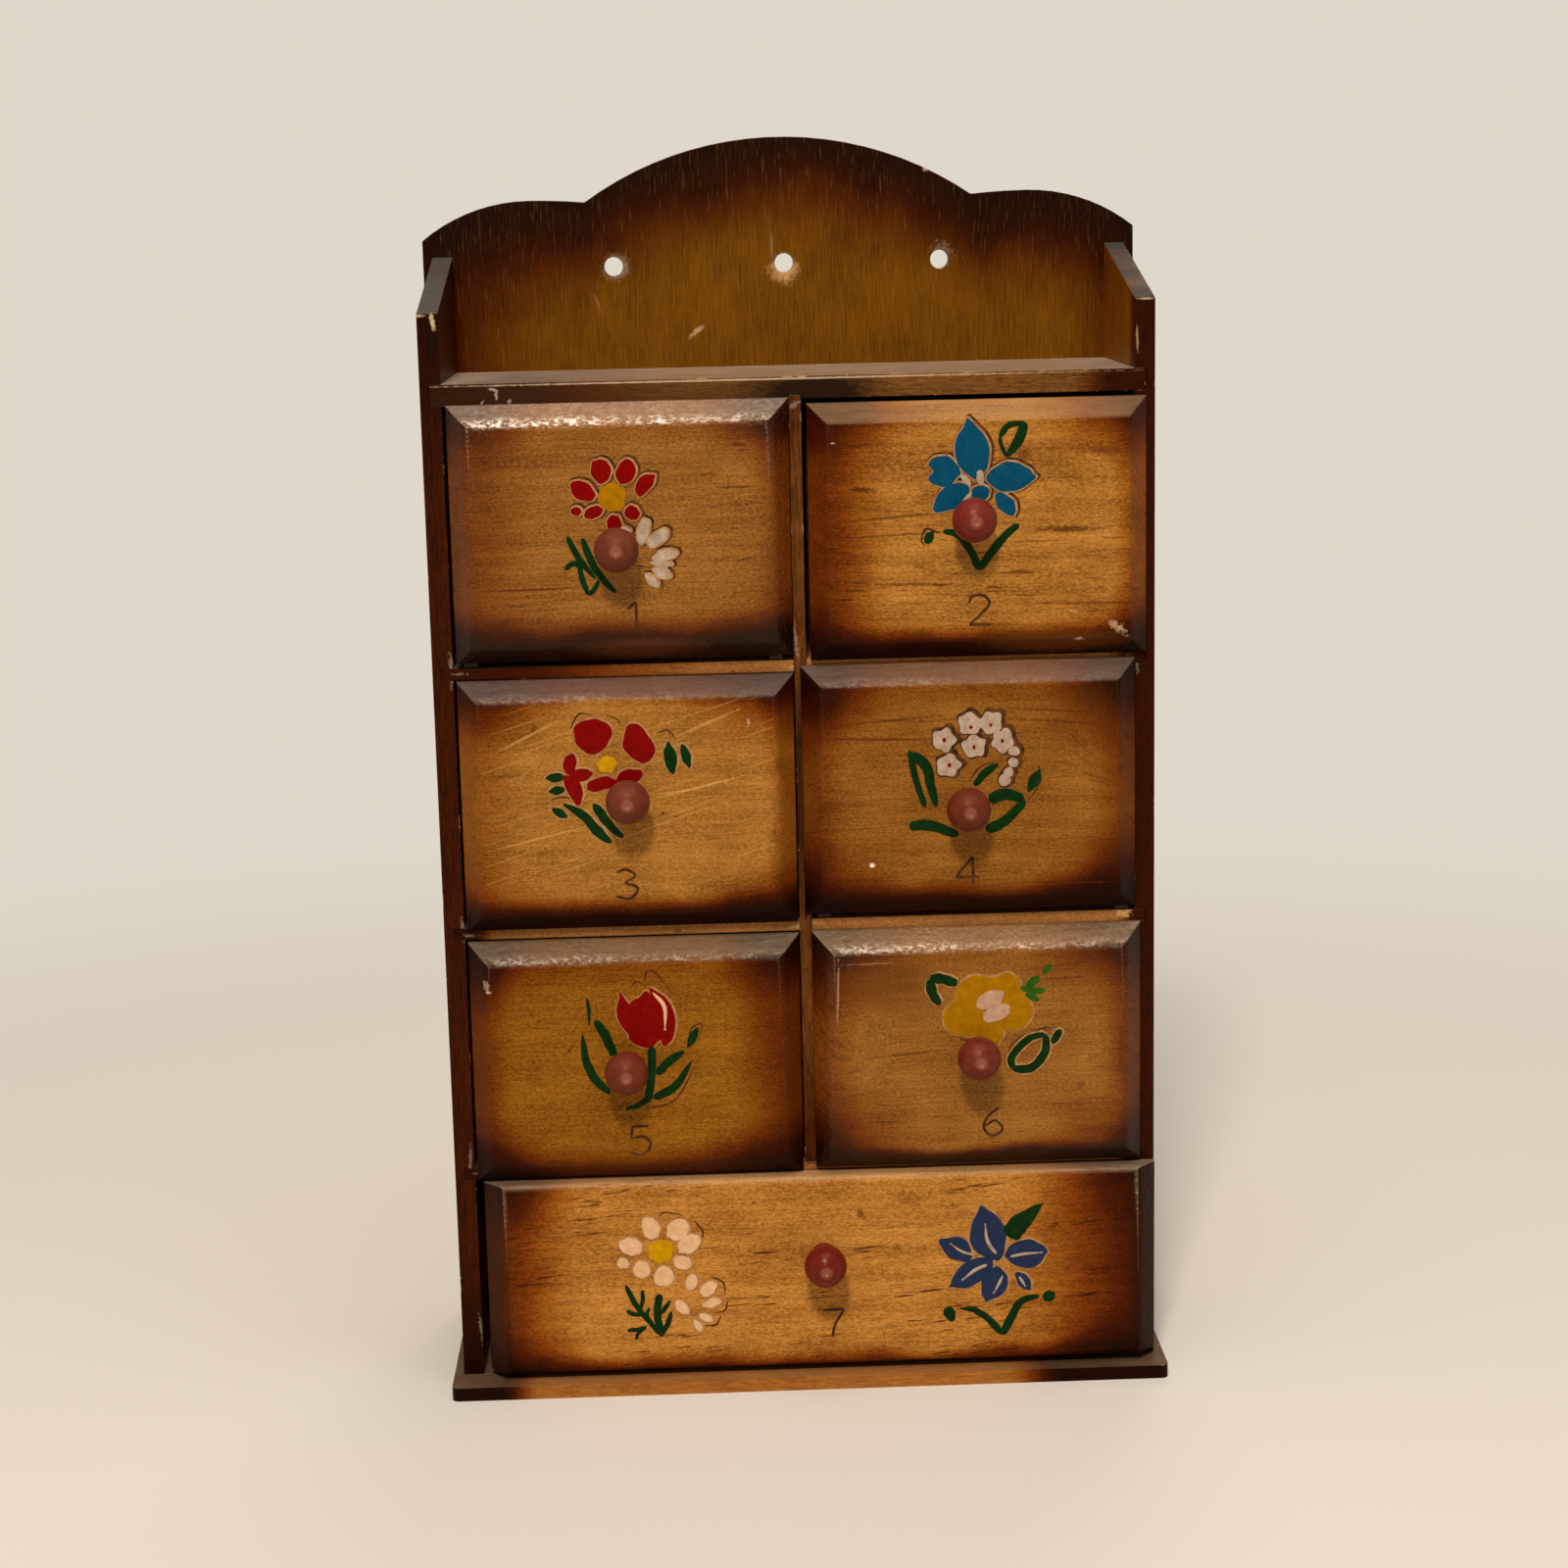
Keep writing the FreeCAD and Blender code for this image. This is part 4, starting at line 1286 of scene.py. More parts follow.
PAINT = Layer(0.0, 0.09, 0.16)
PAINT_OVER = Layer(0.0, 0.25, 0.10)
BARE_RIM = Layer(0.42, 0.045, 0.0, (0.12, 0.08))
BURNT_LINE = Layer(0.78, 0.02, 0.0, (0.42, 0.30))
THIN_LINE = Layer(0.0, 0.035, 0.0)
FILM_BITE = 0.06                # how far each film reaches down into the wood
FILM_STEP = 0.0012              # how much higher each shape of a film lies than the last
DAB_SIDES = 36
DAB_RINGS = (0.10, 0.20, 0.30)  # how far in the rings of a dab lie, as shares of its reach
DAB_HAND = 0.16                 # how much an unsteady hand changes a dab's width
STROKE_HAND = 0.2               # and a stroke's
STROKE_STEP = 0.01              # how far apart two points are taken to find its direction
BLUNTNESS = 14                  # how squarely a stroke ends


@dataclass(frozen=True)
class Dab:
    """One petal, leaf or drop, laid down as a single closed dab of paint.

    x and z are its middle on the cabinet and turn is where its tip points, in degrees
    from the right.  point and root say how sharp its two ends are, notch how deep a
    heart's cleft is at the tip, and bend how far both ends bow to the left.  A blossom
    has lobes.
    """

    x: float
    z: float
    length: float
    width: float
    turn: float = 0.0
    point: float = 0.0
    root: float = 0.0
    notch: float = 0.0
    bend: float = 0.0
    lobes: int = 0
    lobe_depth: float = 0.12

    def outline(self, u: float, v: float, layer: Layer) -> tuple[float, float]:
        """Move a point of the unit disc to where it lies on the front.

        Args:
            u: The point's place from the root at -1 to the tip at 1.
            v: Its place across.
            layer: The film that is laid down.

        Returns:
            Its x and z in millimetres.
        """
        sharp = self.point if u > 0 else self.root
        across = v * (1.0 - sharp * u * u)
        along = u
        if self.lobes:
            wave = 1.0 + self.lobe_depth * math.cos(self.lobes * math.atan2(v, u))
            along, across = along * wave, across * wave
        hand = noise.noise(Vector((self.x + 1.7 * u, 1.7 * v, self.z)))
        swell = 1.0 + DAB_HAND * hand
        along = along * (self.length / 2 + layer.spread) * swell
        across = across * (self.width / 2 + layer.spread) * swell
        along -= self.notch * math.exp(-(v / 0.32) ** 2) * max(u, 0.0) ** 2
        across += self.bend * u * u
        turn = math.radians(self.turn)
        return (self.x + layer.shift[0] + along * math.cos(turn) - across * math.sin(turn),
                self.z + layer.shift[1] + along * math.sin(turn) + across * math.cos(turn))

    def lay(self, mesh: bmesh.types.BMesh, layer: Layer, face_y: float) -> None:
        """Add the dab to a mesh.

        Args:
            mesh: The mesh that it joins.
            layer: The film that is laid down.
            face_y: The front's face, in millimetres.
        """
        ring = bmesh.ops.create_circle(mesh, cap_ends=True, radius=1.0, segments=DAB_SIDES)["verts"]
        disc = list({face for vert in ring for face in vert.link_faces})
        grown = list(disc)
        for inset in DAB_RINGS:
            grown += bmesh.ops.inset_region(mesh, faces=disc, thickness=inset)["faces"]
        for vert in {vert for face in grown for vert in face.verts}:
            u, v = vert.co.x, vert.co.y
            x, z = self.outline(u, v, layer)
            rise = layer.height + layer.crown * math.sqrt(max(1.0 - u * u - v * v, 0.0))
            vert.co = Vector((x, face_y - rise, z)) * MM
        thicken(mesh, grown, layer)


@dataclass(frozen=True)
class Stroke:
    """One pull of the brush or of the burning point along a path.

    path is a few points on the cabinet that it runs through smoothly, start and end are
    its width there as shares of width, and swell is where between them it is widest.
    """

    path: tuple[tuple[float, float], ...]
    width: float = 1.3
    start: float = 0.5
    end: float = 0.15
    swell: float = 0.4

    def at(self, share: float) -> Vector:
        """Find a place on a smooth run through the path's points.

        Args:
            share: How far along it is, from 0 to 1.

        Returns:
            The place.
        """
        points = [Vector(point) for point in self.path]
        if len(points) == 2:
            return points[0].lerp(points[1], share)
        points = [points[0] * 2 - points[1], *points, points[-1] * 2 - points[-2]]
        spans = len(points) - 3
        index = min(int(share * spans), spans - 1)
        t = share * spans - index
        a, b, c, d = points[index:index + 4]
        return ((b * 2) + (c - a) * t + (a * 2 - b * 5 + c * 4 - d) * t ** 2
                + (b * 3 - a - c * 3 + d) * t ** 3) / 2

    def lay(self, mesh: bmesh.types.BMesh, layer: Layer, face_y: float) -> None:
        """Add the stroke to a mesh.

        Args:
            mesh: The mesh that it joins.
            layer: The film that is laid down.
            face_y: The front's face, in millimetres.
        """
        count = 8 * len(self.path)
        grid = bmesh.ops.create_grid(mesh, x_segments=count, y_segments=4, size=1.0)["verts"]
        for vert in grid:
            share, side = (vert.co.x + 1) / 2, vert.co.y
            end = self.start if share < self.swell else self.end
            reach = self.swell if share < self.swell else 1.0 - self.swell
            gone = abs(share - self.swell) / reach
            full = end + (1.0 - end) * (1.0 - gone * gone)
            blunt = max(1.0 - abs(2 * share - 1) ** BLUNTNESS, 0.06) ** 0.5
            half = (self.width / 2 * full + layer.spread) * blunt
            ahead = self.at(min(share + STROKE_STEP, 1.0))
            along = (ahead - self.at(max(share - STROKE_STEP, 0.0))).normalized()
            hand = noise.noise(Vector((self.path[0][0] + 5 * share, side, 0.0)))
            aside = Vector((-along.y, along.x)) * side * half * (1 + STROKE_HAND * hand)
            place = self.at(share) + aside
            rise = layer.height + layer.crown * (1.0 - side * side)
            vert.co = Vector((place.x + layer.shift[0], face_y - rise, place.y + layer.shift[1])) * MM
        thicken(mesh, list({face for vert in grid for face in vert.link_faces}), layer)


def thicken(mesh: bmesh.types.BMesh, faces: list[bmesh.types.BMFace], layer: Layer) -> None:
    """Close a film by giving it a thickness down into the wood.

    Args:
        mesh: The mesh the film is in.
        faces: The film's faces.
        layer: The film that was laid down.
    """
    bmesh.ops.recalc_face_normals(mesh, faces=faces)
    if faces[0].normal.y > 0:
        bmesh.ops.reverse_faces(mesh, faces=faces)
    bmesh.ops.solidify(mesh, geom=faces, thickness=(layer.height + FILM_BITE) * MM)


Shape = Dab | Stroke


@dataclass(frozen=True)
class Posy:
    """The flowers painted on one front, by enamel, and what else was drawn there."""

    drawer: str
    paint: dict[Tone, tuple[Shape, ...]]
    outlined: tuple[Tone, ...] = ()           # enamels whose shapes have a burnt line
    rimmed: tuple[Tone, ...] = ()             # enamels whose shapes have a bare rim
    loose_lines: tuple[Stroke, ...] = ()      # burnt lines that were never painted up to
    over: Tone | None = None                  # the enamel laid on top of another
    number: int = 0
    number_at: tuple[float, float] = (0.0, 0.0)

    def film(self, name: str, shapes: Sequence[Shape], layer: Layer,
             finish: Finish, slot: str) -> None:
        """Lay some shapes down as one piece.

        Args:
            name: The piece's name.
            shapes: The shapes.
            layer: The film they are laid down as.
            finish: The film's finish.
            slot: Its material slot; not used.
        """
        block = Block.of(self.drawer + "_front")
        face_y = block.centre.y - block.half.y
        mesh = bmesh.new()
        for order, shape in enumerate(shapes):
            step = replace(layer, height=layer.height + FILM_STEP * order)
            part = bmesh.new()
            shape.lay(part, step, face_y)
            data = bpy.data.meshes.new("dab")
            part.to_mesh(data)
            part.free()
            mesh.from_mesh(data)
            bpy.data.meshes.remove(data)
        new_piece(f"{self.drawer}_{name}", mesh, finish.material(), self.drawer)

    def build(self) -> None:
        """Burn the lines, scrape the rims, lay the paint and press the number."""
        burnt = PressedLine(f"burnt_line_{self.drawer}", "#2a1206", "#6b3c12")
        rim = PressedLine(f"bare_rim_{self.drawer}", "#b98a58", "#8f5f2c")
        ringed = [shape for tone in self.paint if tone in self.outlined for shape in self.paint[tone]]
        if ringed:
            self.film("burnt_rims", ringed, BURNT_LINE, burnt, "front_wood")
        if self.loose_lines:
            self.film("burnt_lines", self.loose_lines, THIN_LINE, burnt, "front_wood")
        scraped = [shape for tone in self.paint if tone in self.rimmed for shape in self.paint[tone]]
        if scraped:
            self.film("bare_rims", scraped, BARE_RIM, rim, "front_wood")
        for tone, shapes in self.paint.items():
            enamel = BrushEnamel(f"{tone.name.lower()}_enamel_{self.drawer}", *tone.value)
            layer = PAINT_OVER if tone is self.over else PAINT
            self.film(tone.name.lower() + "_paint", shapes, layer, enamel, "knob_paint")
        self.press_number()

    def press_number(self) -> None:
        """Press the drawer's number into the front below its knob."""
        x, z = self.number_at
        size = NUMBER_HEIGHT
        strokes = [Stroke(tuple((x + (u - 0.4) * size, z + (v - 0.5) * size) for u, v in path),
                          0.7, 1.0, 0.8, 0.5) for path in DIGITS[self.number]]
        pressed = PressedLine(f"pressed_number_{self.drawer}", "#2c1508", "#5d3512")
        self.film("number", strokes, Layer(0.0, 0.03, 0.0), pressed, "front_wood")


NUMBER_HEIGHT = 7.4
# the strokes of each number in a box one high, the way they are written by hand
DIGITS = {
    1: (((0.20, 0.76), (0.48, 1.0)), ((0.48, 1.0), (0.48, 0.0))),
    2: (((0.06, 0.74), (0.20, 0.96), (0.55, 0.98), (0.74, 0.72), (0.46, 0.36), (0.06, 0.02)),
        ((0.06, 0.02), (0.80, 0.0))),
    3: (((0.08, 0.90), (0.40, 1.0), (0.70, 0.78), (0.34, 0.55)),
        ((0.34, 0.55), (0.78, 0.34), (0.50, 0.0), (0.04, 0.10))),
    4: (((0.60, 1.0), (0.60, 0.0)), ((0.60, 1.0), (0.02, 0.30)), ((0.02, 0.30), (0.84, 0.30))),
    5: (((0.72, 1.0), (0.16, 0.98)), ((0.16, 0.98), (0.12, 0.56)),
        ((0.12, 0.56), (0.52, 0.62), (0.78, 0.34), (0.50, 0.0), (0.04, 0.08))),
    6: (((0.62, 1.0), (0.24, 0.70), (0.08, 0.30), (0.36, 0.0), (0.72, 0.22), (0.46, 0.54),
         (0.12, 0.34)),),
    7: (((0.04, 0.98), (0.78, 1.0)), ((0.78, 1.0), (0.46, 0.48), (0.34, 0.0))),
}


def posies() -> list[Posy]:
    """Lay out the flowers on the seven fronts, and the numbers one to seven.

    Returns:
        The posies.
    """
    florets = [Dab(x, z, 5.7, 5.5, turn, lobes=5, lobe_depth=0.11) for x, z, turn in (
        (42.4, 170.8, 10.0), (47.6, 171.0, 40.0), (36.0, 167.0, 70.0), (43.4, 165.2, 25.0),
        (50.5, 166.3, 55.0), (37.1, 160.6, 5.0))]
    return [
        Posy("upper_left_drawer", {
            Tone.GREEN: (
                Stroke(((-54.5, 219.3), (-51.6, 213.6), (-48, 209)), 1.6, 0.8, 0.5),
                Stroke(((-50.9, 218.9), (-49.2, 214), (-46.8, 209.6), (-43.2, 205.4)), 1.8, 0.8, 0.6),
                Stroke(((-55.4, 211.4), (-53, 212.9), (-51.4, 211.4)), 1.3, 0.8, 0.7),
                Stroke(((-51.8, 212), (-51.2, 209), (-49.9, 205.2)), 1.4, 0.8, 0.8),
                Stroke(((-49.9, 205.2), (-48.4, 206.4), (-47.2, 208.6)), 1.2, 0.9, 0.6)),
            Tone.RED: (
                Dab(-45.9, 234.9, 6.2, 4.9, 96, root=0.35), Dab(-39.9, 234.5, 6.3, 4.6, 74, root=0.35),
                Dab(-35.6, 231.5, 6.2, 3.6, 52, root=0.2, bend=-0.5), Dab(-38.7, 224.8, 3.8, 3.3, -40),
                Dab(-43.1, 222.2, 4.2, 3.6, -88), Dab(-47.9, 225.1, 4.8, 2.8, 202, root=0.3),
                Dab(-52.2, 225.4, 2.7, 2, 180), Dab(-50.4, 230.3, 6.6, 4.4, 152, root=0.25)),
            Tone.WHITE: (
                Dab(-36.2, 220.2, 6.2, 2.9, 74), Dab(-32.6, 218.4, 6.2, 3, 36),
                Dab(-31.2, 214.2, 6.6, 2.5, 12, root=0.6), Dab(-32, 212.3, 5.4, 1.2, -6),
                Dab(-32, 210, 4.6, 2.6, -28, root=0.5), Dab(-34.4, 208.3, 4.2, 2, -48, root=0.4),
                Dab(-40.3, 220.6, 2.6, 1.4, 150)),
            Tone.YELLOW: (Dab(-43.3, 228.6, 7, 6.8, 30, lobes=5, lobe_depth=0.03),)},
            outlined=(Tone.WHITE, Tone.RED), rimmed=(Tone.RED, Tone.WHITE),
            loose_lines=(Stroke(((-29.5, 208.4), (-34.5, 211.2), (-39, 212)), 0.35),), number=1,
            number_at=(-39, 199.4)),
        Posy("upper_right_drawer", {
            Tone.GREEN: (
                Stroke(((50.3, 240.6), (52.4, 243.4), (56.4, 244.2)), 1.6, 0.5, 0.6),
                Stroke(((56.4, 244.2), (55, 240), (52, 236)), 2.5, 0.8, 0.4),
                Stroke(((50.3, 240.6), (50.9, 238.4), (52, 236)), 1, 0.8, 0.8),
                Stroke(((45.1, 208.7), (43.2, 213.2), (40, 217.4), (36.4, 218.4)), 1.9, 0.9, 0.7, 0.3),
                Stroke(((45.1, 208.7), (48.2, 213), (51.6, 217), (54.8, 219.6)), 2, 0.9, 0.8, 0.3),
                Dab(33.1, 217, 3.6, 2.2, 60, point=0.5)),
            Tone.BLUE: (
                Dab(43.8, 237.6, 14.4, 8.6, 98, 0.45, 0.35),
                Dab(36.6, 232.9, 8.4, 7.4, 178, notch=1.9, root=0.4),
                Dab(38.4, 226.4, 10.4, 5.8, 214, 0.45, 0.3), Dab(53.2, 231.2, 11.6, 7.4, 2, 0.55, 0.15),
                Dab(51.6, 224.6, 7, 4, -52, 0.4, 0.3), Dab(45.6, 227.4, 4.4, 3.6)),
            Tone.WHITE: (
                Dab(42.1, 230.7, 3.4, 1.5, -48), Dab(45.6, 231.2, 3.8, 1.8, 96),
                Dab(48.9, 230.9, 3.6, 1.6, 78), Dab(42.6, 226.6, 3.6, 0.9, 40))},
            outlined=(Tone.BLUE,), rimmed=(Tone.BLUE,),
            loose_lines=(Stroke(((35.6, 218), (32.4, 219), (31.2, 216.4), (32, 214.8)), 0.5, 0.8, 0.5),),
            number=2, number_at=(45, 198.9)),
        Posy("middle_left_drawer", {
            Tone.GREEN: (
                Dab(-31.2, 164.3, 8, 3.2, 98, 0.2, 0.5), Dab(-27.4, 164.8, 6.2, 2.4, 106, 0.3, 0.5),
                Dab(-59.7, 160.3, 4.6, 2.4, 184, 0.4), Dab(-59.3, 157, 4, 2.2, 186, 0.4),
                Dab(-58.8, 151.4, 4.2, 2, -34),
                Stroke(((-57.9, 153.7), (-52.8, 150.4), (-49.6, 146.4), (-46.3, 143.6)), 2.5, 0.4, 0.5,
                       0.6),
                Stroke(((-50.5, 153.5), (-48.2, 150.2), (-46, 147.2), (-43.4, 144.8)), 2.3, 0.6, 0.5,
                       0.3)),
            Tone.DEEP_RED: (
                Dab(-50, 170.5, 9.6, 8.6, 24, lobes=3, lobe_depth=0.09),
                Dab(-39.1, 168, 9.8, 7.4, 112, lobes=2, lobe_depth=0.05, bend=-0.5),
                Dab(-55.8, 163.6, 5.4, 3.2, 78), Dab(-53.4, 160.7, 5.8, 3, 8),
                Dab(-55, 157.4, 8.2, 3.6, -66, bend=-0.5), Dab(-48.3, 158.4, 7.8, 3.4, 12, bend=-0.3),
                Dab(-41.4, 160, 6.8, 3.8, 14)),
            Tone.EGG_YELLOW: (Dab(-46.8, 163.2, 4.8, 4, 10, lobes=5, lobe_depth=0.06),)},
            rimmed=(Tone.DEEP_RED, Tone.GREEN), loose_lines=(
                Stroke(((-55.5, 172.2), (-53.2, 175.9), (-49.6, 175.4)), 0.45, 0.4),
                Stroke(((-46.6, 175.6), (-44, 174.4), (-43, 172.6)), 0.4, 0.4),
                Stroke(((-34.6, 170.6), (-31.6, 171.2), (-29.4, 168.6)), 0.4, 0.4),
                Stroke(((-61, 154.6), (-57.6, 155.3), (-51.6, 153.4)), 0.4, 0.4)),
            number=3, number_at=(-43, 133)),
        Posy("middle_right_drawer", {
            Tone.GREEN: (
                Stroke(((27.6, 164.6), (28.8, 158), (31.2, 150.2)), 1.7, 0.9, 0.8),
                Stroke(((28.2, 163.9), (31.6, 160.4), (32.6, 156), (33.9, 150.4)), 2.6, 0.9, 0.6, 0.3),
                Stroke(((27.2, 145.6), (32.4, 145.6), (39.4, 143)), 2.7, 0.8, 0.7),
                Stroke(((43.4, 155.4), (46, 158.4), (49.4, 160.8)), 2, 0.7, 0.3, 0.6),
                Stroke(((47, 151.6), (51, 153), (55.6, 151.6)), 3, 0.8, 0.7),
                Stroke(((46.2, 144), (50.8, 146.2), (56, 151.2)), 2.6, 0.9, 0.7),
                Dab(58.2, 156.2, 6.4, 2.6, 62, 0.7, 0.5)),
            Tone.WHITE: (
                *florets, Dab(51.2, 168.6, 2.2, 2), Dab(53.3, 163.7, 2.9, 2.4), Dab(53.1, 160.9, 2.5, 2.4),
                Dab(51.9, 158.5, 2.4, 2.4), Dab(50.9, 156.6, 3.1, 2.8, 30)),
            Tone.DEEP_RED: (
                Dab(42.7, 170, 0.9, 0.8), Dab(47.6, 170.4, 0.8, 0.7), Dab(36.1, 167, 0.9, 1.1),
                Dab(43.4, 165, 0.7, 1.1), Dab(50.4, 166.4, 0.8, 1), Dab(37.3, 160.7, 0.9, 1))},
            outlined=(Tone.WHITE,), loose_lines=(
                Stroke(((59.4, 160), (59.6, 155.6), (56.6, 151)), 0.5),
                Stroke(((42, 156.4), (45, 160), (49.8, 161.6)), 0.45, 0.4)),
            over=Tone.DEEP_RED, number=4, number_at=(41.4, 133.8)),
        Posy("lower_left_drawer", {
            Tone.GREEN: (
                Stroke(((-38, 91.2), (-38.3, 84.6), (-39.2, 77)), 2.1, 0.9, 0.9),
                Stroke(((-53.8, 104.4), (-53.4, 100.8), (-53.5, 97.2)), 1, 0.2, 0.3),
                Stroke(((-52, 98.4), (-49.6, 94.6), (-47.4, 89)), 2.4, 0.5, 0.9),
                Stroke(((-55.3, 95.2), (-54.6, 88.6), (-52.6, 83.4), (-48.8, 79.4)), 2.2, 0.15, 0.8, 0.5),
                Stroke(((-37, 84), (-33.4, 87.6), (-29.8, 89.8)), 2.2, 0.9, 0.3),
                Dab(-27.7, 93.2, 5.8, 2.2, 62, 0.4, 0.5),
                Stroke(((-38, 77.8), (-32.4, 80.8), (-28.2, 87.2)), 2.2, 0.8),
                Stroke(((-45.2, 75), (-41.6, 76.2), (-38.6, 78.4)), 1.5, 0.3, 0.9, 0.6)),
            Tone.RED: (
                Dab(-39.4, 98, 14.2, 9.4, 92, 0.35), Dab(-44, 98.6, 14.6, 4.4, 112, 0.75, 0.2, bend=-1.3),
                Dab(-34.6, 99.4, 16.8, 4.6, 103, 0.55, 0.2, bend=1.9), Dab(-39.4, 94.6, 8.6, 7)),
            Tone.CREAM: (Stroke(((-37.4, 105.2), (-34.6, 101.4), (-34.6, 95.4)), 1, 0.3, 0.1),)},
            rimmed=(Tone.RED,), loose_lines=(
                Stroke(((-42.8, 106.4), (-41.4, 108), (-38.8, 106.8)), 0.45, 0.4),
                Stroke(((-39.4, 107.8), (-38.6, 110.6), (-36.2, 109.8), (-32.6, 104.6)), 0.45, 0.4),
                Stroke(((-40, 75), (-32.6, 77.2), (-27.2, 86)), 0.5, 0.3),
                Stroke(((-28.6, 90), (-28.2, 95.2), (-25.4, 96.6), (-26.4, 92)), 0.4, 0.4)),
            over=Tone.CREAM, number=5, number_at=(-41.8, 66.9)),
        Posy("lower_right_drawer", {
            Tone.GREEN: (
                Stroke(((31.8, 106.6), (35, 106.4), (38.6, 105)), 2.6, 0.8, 0.8),
                Stroke(((31.8, 106.4), (32.4, 102.8), (34.2, 99.8)), 2.5, 0.9, 0.6),
                Stroke(((52.4, 82.6), (52.2, 85.8), (56.4, 90.2), (60.6, 91.4)), 1.9, 0.9, 0.7),
                Stroke(((52.4, 82.6), (56.8, 82.6), (60.4, 86.4), (60.8, 91.2)), 2.2, 0.9, 0.8),
                Dab(63.4, 90.6, 4.2, 2, 58)),
            Tone.LEAF: (
                Dab(57.6, 105, 4.4, 2, 40), Dab(56.2, 103.2, 3.8, 1.8, 170), Dab(58.6, 102.6, 4.2, 1.7, 4),
                Dab(57.4, 101, 4, 1.6, -28), Dab(61.2, 108.2, 3, 1.5, 44)),
            Tone.YELLOW: (
                Dab(46.6, 99, 17, 16.2, 20, lobes=3, lobe_depth=0.1), Dab(40.4, 96, 11, 9, 160),
                Dab(52.4, 97.4, 9.4, 10.6, 40), Dab(46.4, 91.6, 7, 6.6), Dab(50.6, 103.6, 8, 7.6)),
            Tone.PINK: (Dab(46.9, 100.7, 7.4, 4.2, 22), Dab(48.4, 97.2, 7.2, 4, 22))},
            rimmed=(Tone.GREEN, Tone.YELLOW), loose_lines=(
                Stroke(((63.6, 93.2), (59, 92.6), (52.6, 89.4), (50.6, 84)), 0.4, 0.4),
                Stroke(((39, 91), (42.6, 89.6), (48.6, 88.6)), 0.4, 0.4)),
            over=Tone.PINK, number=6, number_at=(47.3, 68.9)),
        Posy("wide_drawer", {
            Tone.GREEN: (
                Stroke(((-46.6, 28.6), (-44, 23), (-38.2, 15)), 1.4, 0.7, 0.9),
                Stroke(((-42.4, 27.2), (-42.4, 24.6), (-43.2, 21.8)), 1.1, 0.7, 0.8),
                Stroke(((-38, 26), (-38.8, 21), (-38, 15)), 2, 0.8, 0.9),
                Stroke(((-35.4, 24.2), (-37, 21.8), (-38.6, 20.4)), 1.2, 0.4, 0.8),
                Stroke(((-46.6, 21.8), (-44.8, 20.8), (-42.4, 20.6)), 1.2, 0.6, 0.8),
                Stroke(((-46.6, 16.5), (-44.2, 16.6), (-41.6, 17.2)), 1.1, 0.6, 0.8),
                Stroke(((-44.4, 13.8), (-43.8, 15.6), (-42, 17)), 0.9, 0.5, 0.8),
                Stroke(((-35.2, 21.2), (-36.2, 18), (-38.2, 14.6)), 1.4, 0.4, 0.9),
                Stroke(((-40.8, 22.4), (-41.4, 20.2), (-39.8, 17.6)), 1, 0.6, 0.8),
                Stroke(((58.8, 22.2), (54, 20.8), (51.4, 16.4), (49.2, 12)), 2.2, 0.5, 0.9, 0.7),
                Stroke(((38.4, 19.5), (42, 18.9), (45.6, 16.4), (49.2, 12.2)), 1.8, 0.3, 0.9, 0.7),
                Dab(35.8, 18, 4.2, 3, -70, 0.3), Dab(61.2, 22, 3.4, 2.8, 30),
                Stroke(((51, 38.2), (54, 41.8), (59.8, 47)), 5.4, 0.7, 0.05, 0.3)),
            Tone.CREAM: (
                Dab(-39.7, 43.6, 6, 4.4, 110), Dab(-32.9, 43, 6.4, 5.2, 50), Dab(-30.2, 39, 6.6, 4.2, 34),
                Dab(-32.1, 34.2, 4.8, 3.6, -24), Dab(-36.8, 30.6, 5.4, 5, 60),
                Dab(-42.4, 32.6, 4.6, 4.2, -60), Dab(-47.1, 34.5, 2.9, 2.9), Dab(-44.9, 38.9, 6, 4.6, 160),
                Dab(-29.9, 28.8, 4.4, 3, 74), Dab(-25.6, 26.9, 5, 3.4, 40),
                Dab(-24.9, 23.1, 5, 2.4, 16, root=0.5), Dab(-26.4, 19.2, 4, 2, -28, root=0.5),
                Dab(-28.6, 17.2, 3.6, 1.8, -60, root=0.4), Dab(-32.4, 22.2, 4.8, 2.6, 128, root=0.2)),
            Tone.EGG_YELLOW: (Dab(-37.3, 37.4, 6.4, 6, 30, lobes=6, lobe_depth=0.02),),
            Tone.SLATE: (
                Dab(45.8, 39, 14.6, 9.6, 104, 0.5, 0.45), Dab(37.6, 35.7, 9.4, 6, 145, 0.5, 0.2, bend=0.5),
                Dab(41.4, 28.8, 13.4, 6.4, 213, 0.6, 0.2),
                Dab(47.2, 25.6, 10.6, 7, 246, 0.5, 0.2, bend=-0.4), Dab(54.6, 26.3, 6, 3.2, -56, 0.3, 0.3),
                Dab(55.6, 33.6, 11.2, 8, 4, 0.55, 0.3)),
            Tone.WHITE: (
                Stroke(((47.8, 33.8), (45.6, 37.4), (45, 42)), 0.9, 0.8, 0.1),
                Stroke(((42, 33.8), (39, 34.8), (36, 37)), 0.7, 0.8, 0.1),
                Stroke(((45.4, 31), (42.2, 29.6), (39, 27)), 0.9, 0.8, 0.1),
                Stroke(((49.4, 28), (48.4, 25.8), (47, 23.2)), 0.7, 0.5, 0.1),
                Stroke(((53.6, 27.6), (54.4, 26.2), (55.2, 24.8)), 0.7, 0.5, 0.1),
                Stroke(((51.4, 33), (55, 33.6), (59.6, 33.8)), 0.8, 0.8, 0.1))},
            rimmed=(Tone.SLATE, Tone.CREAM), loose_lines=(
                Stroke(((-37.6, 46.8), (-36, 47.6), (-31.4, 46.8)), 0.5, 0.4),
                Stroke(((-28.8, 45.2), (-26.6, 42), (-27.8, 38.4)), 0.5, 0.4),
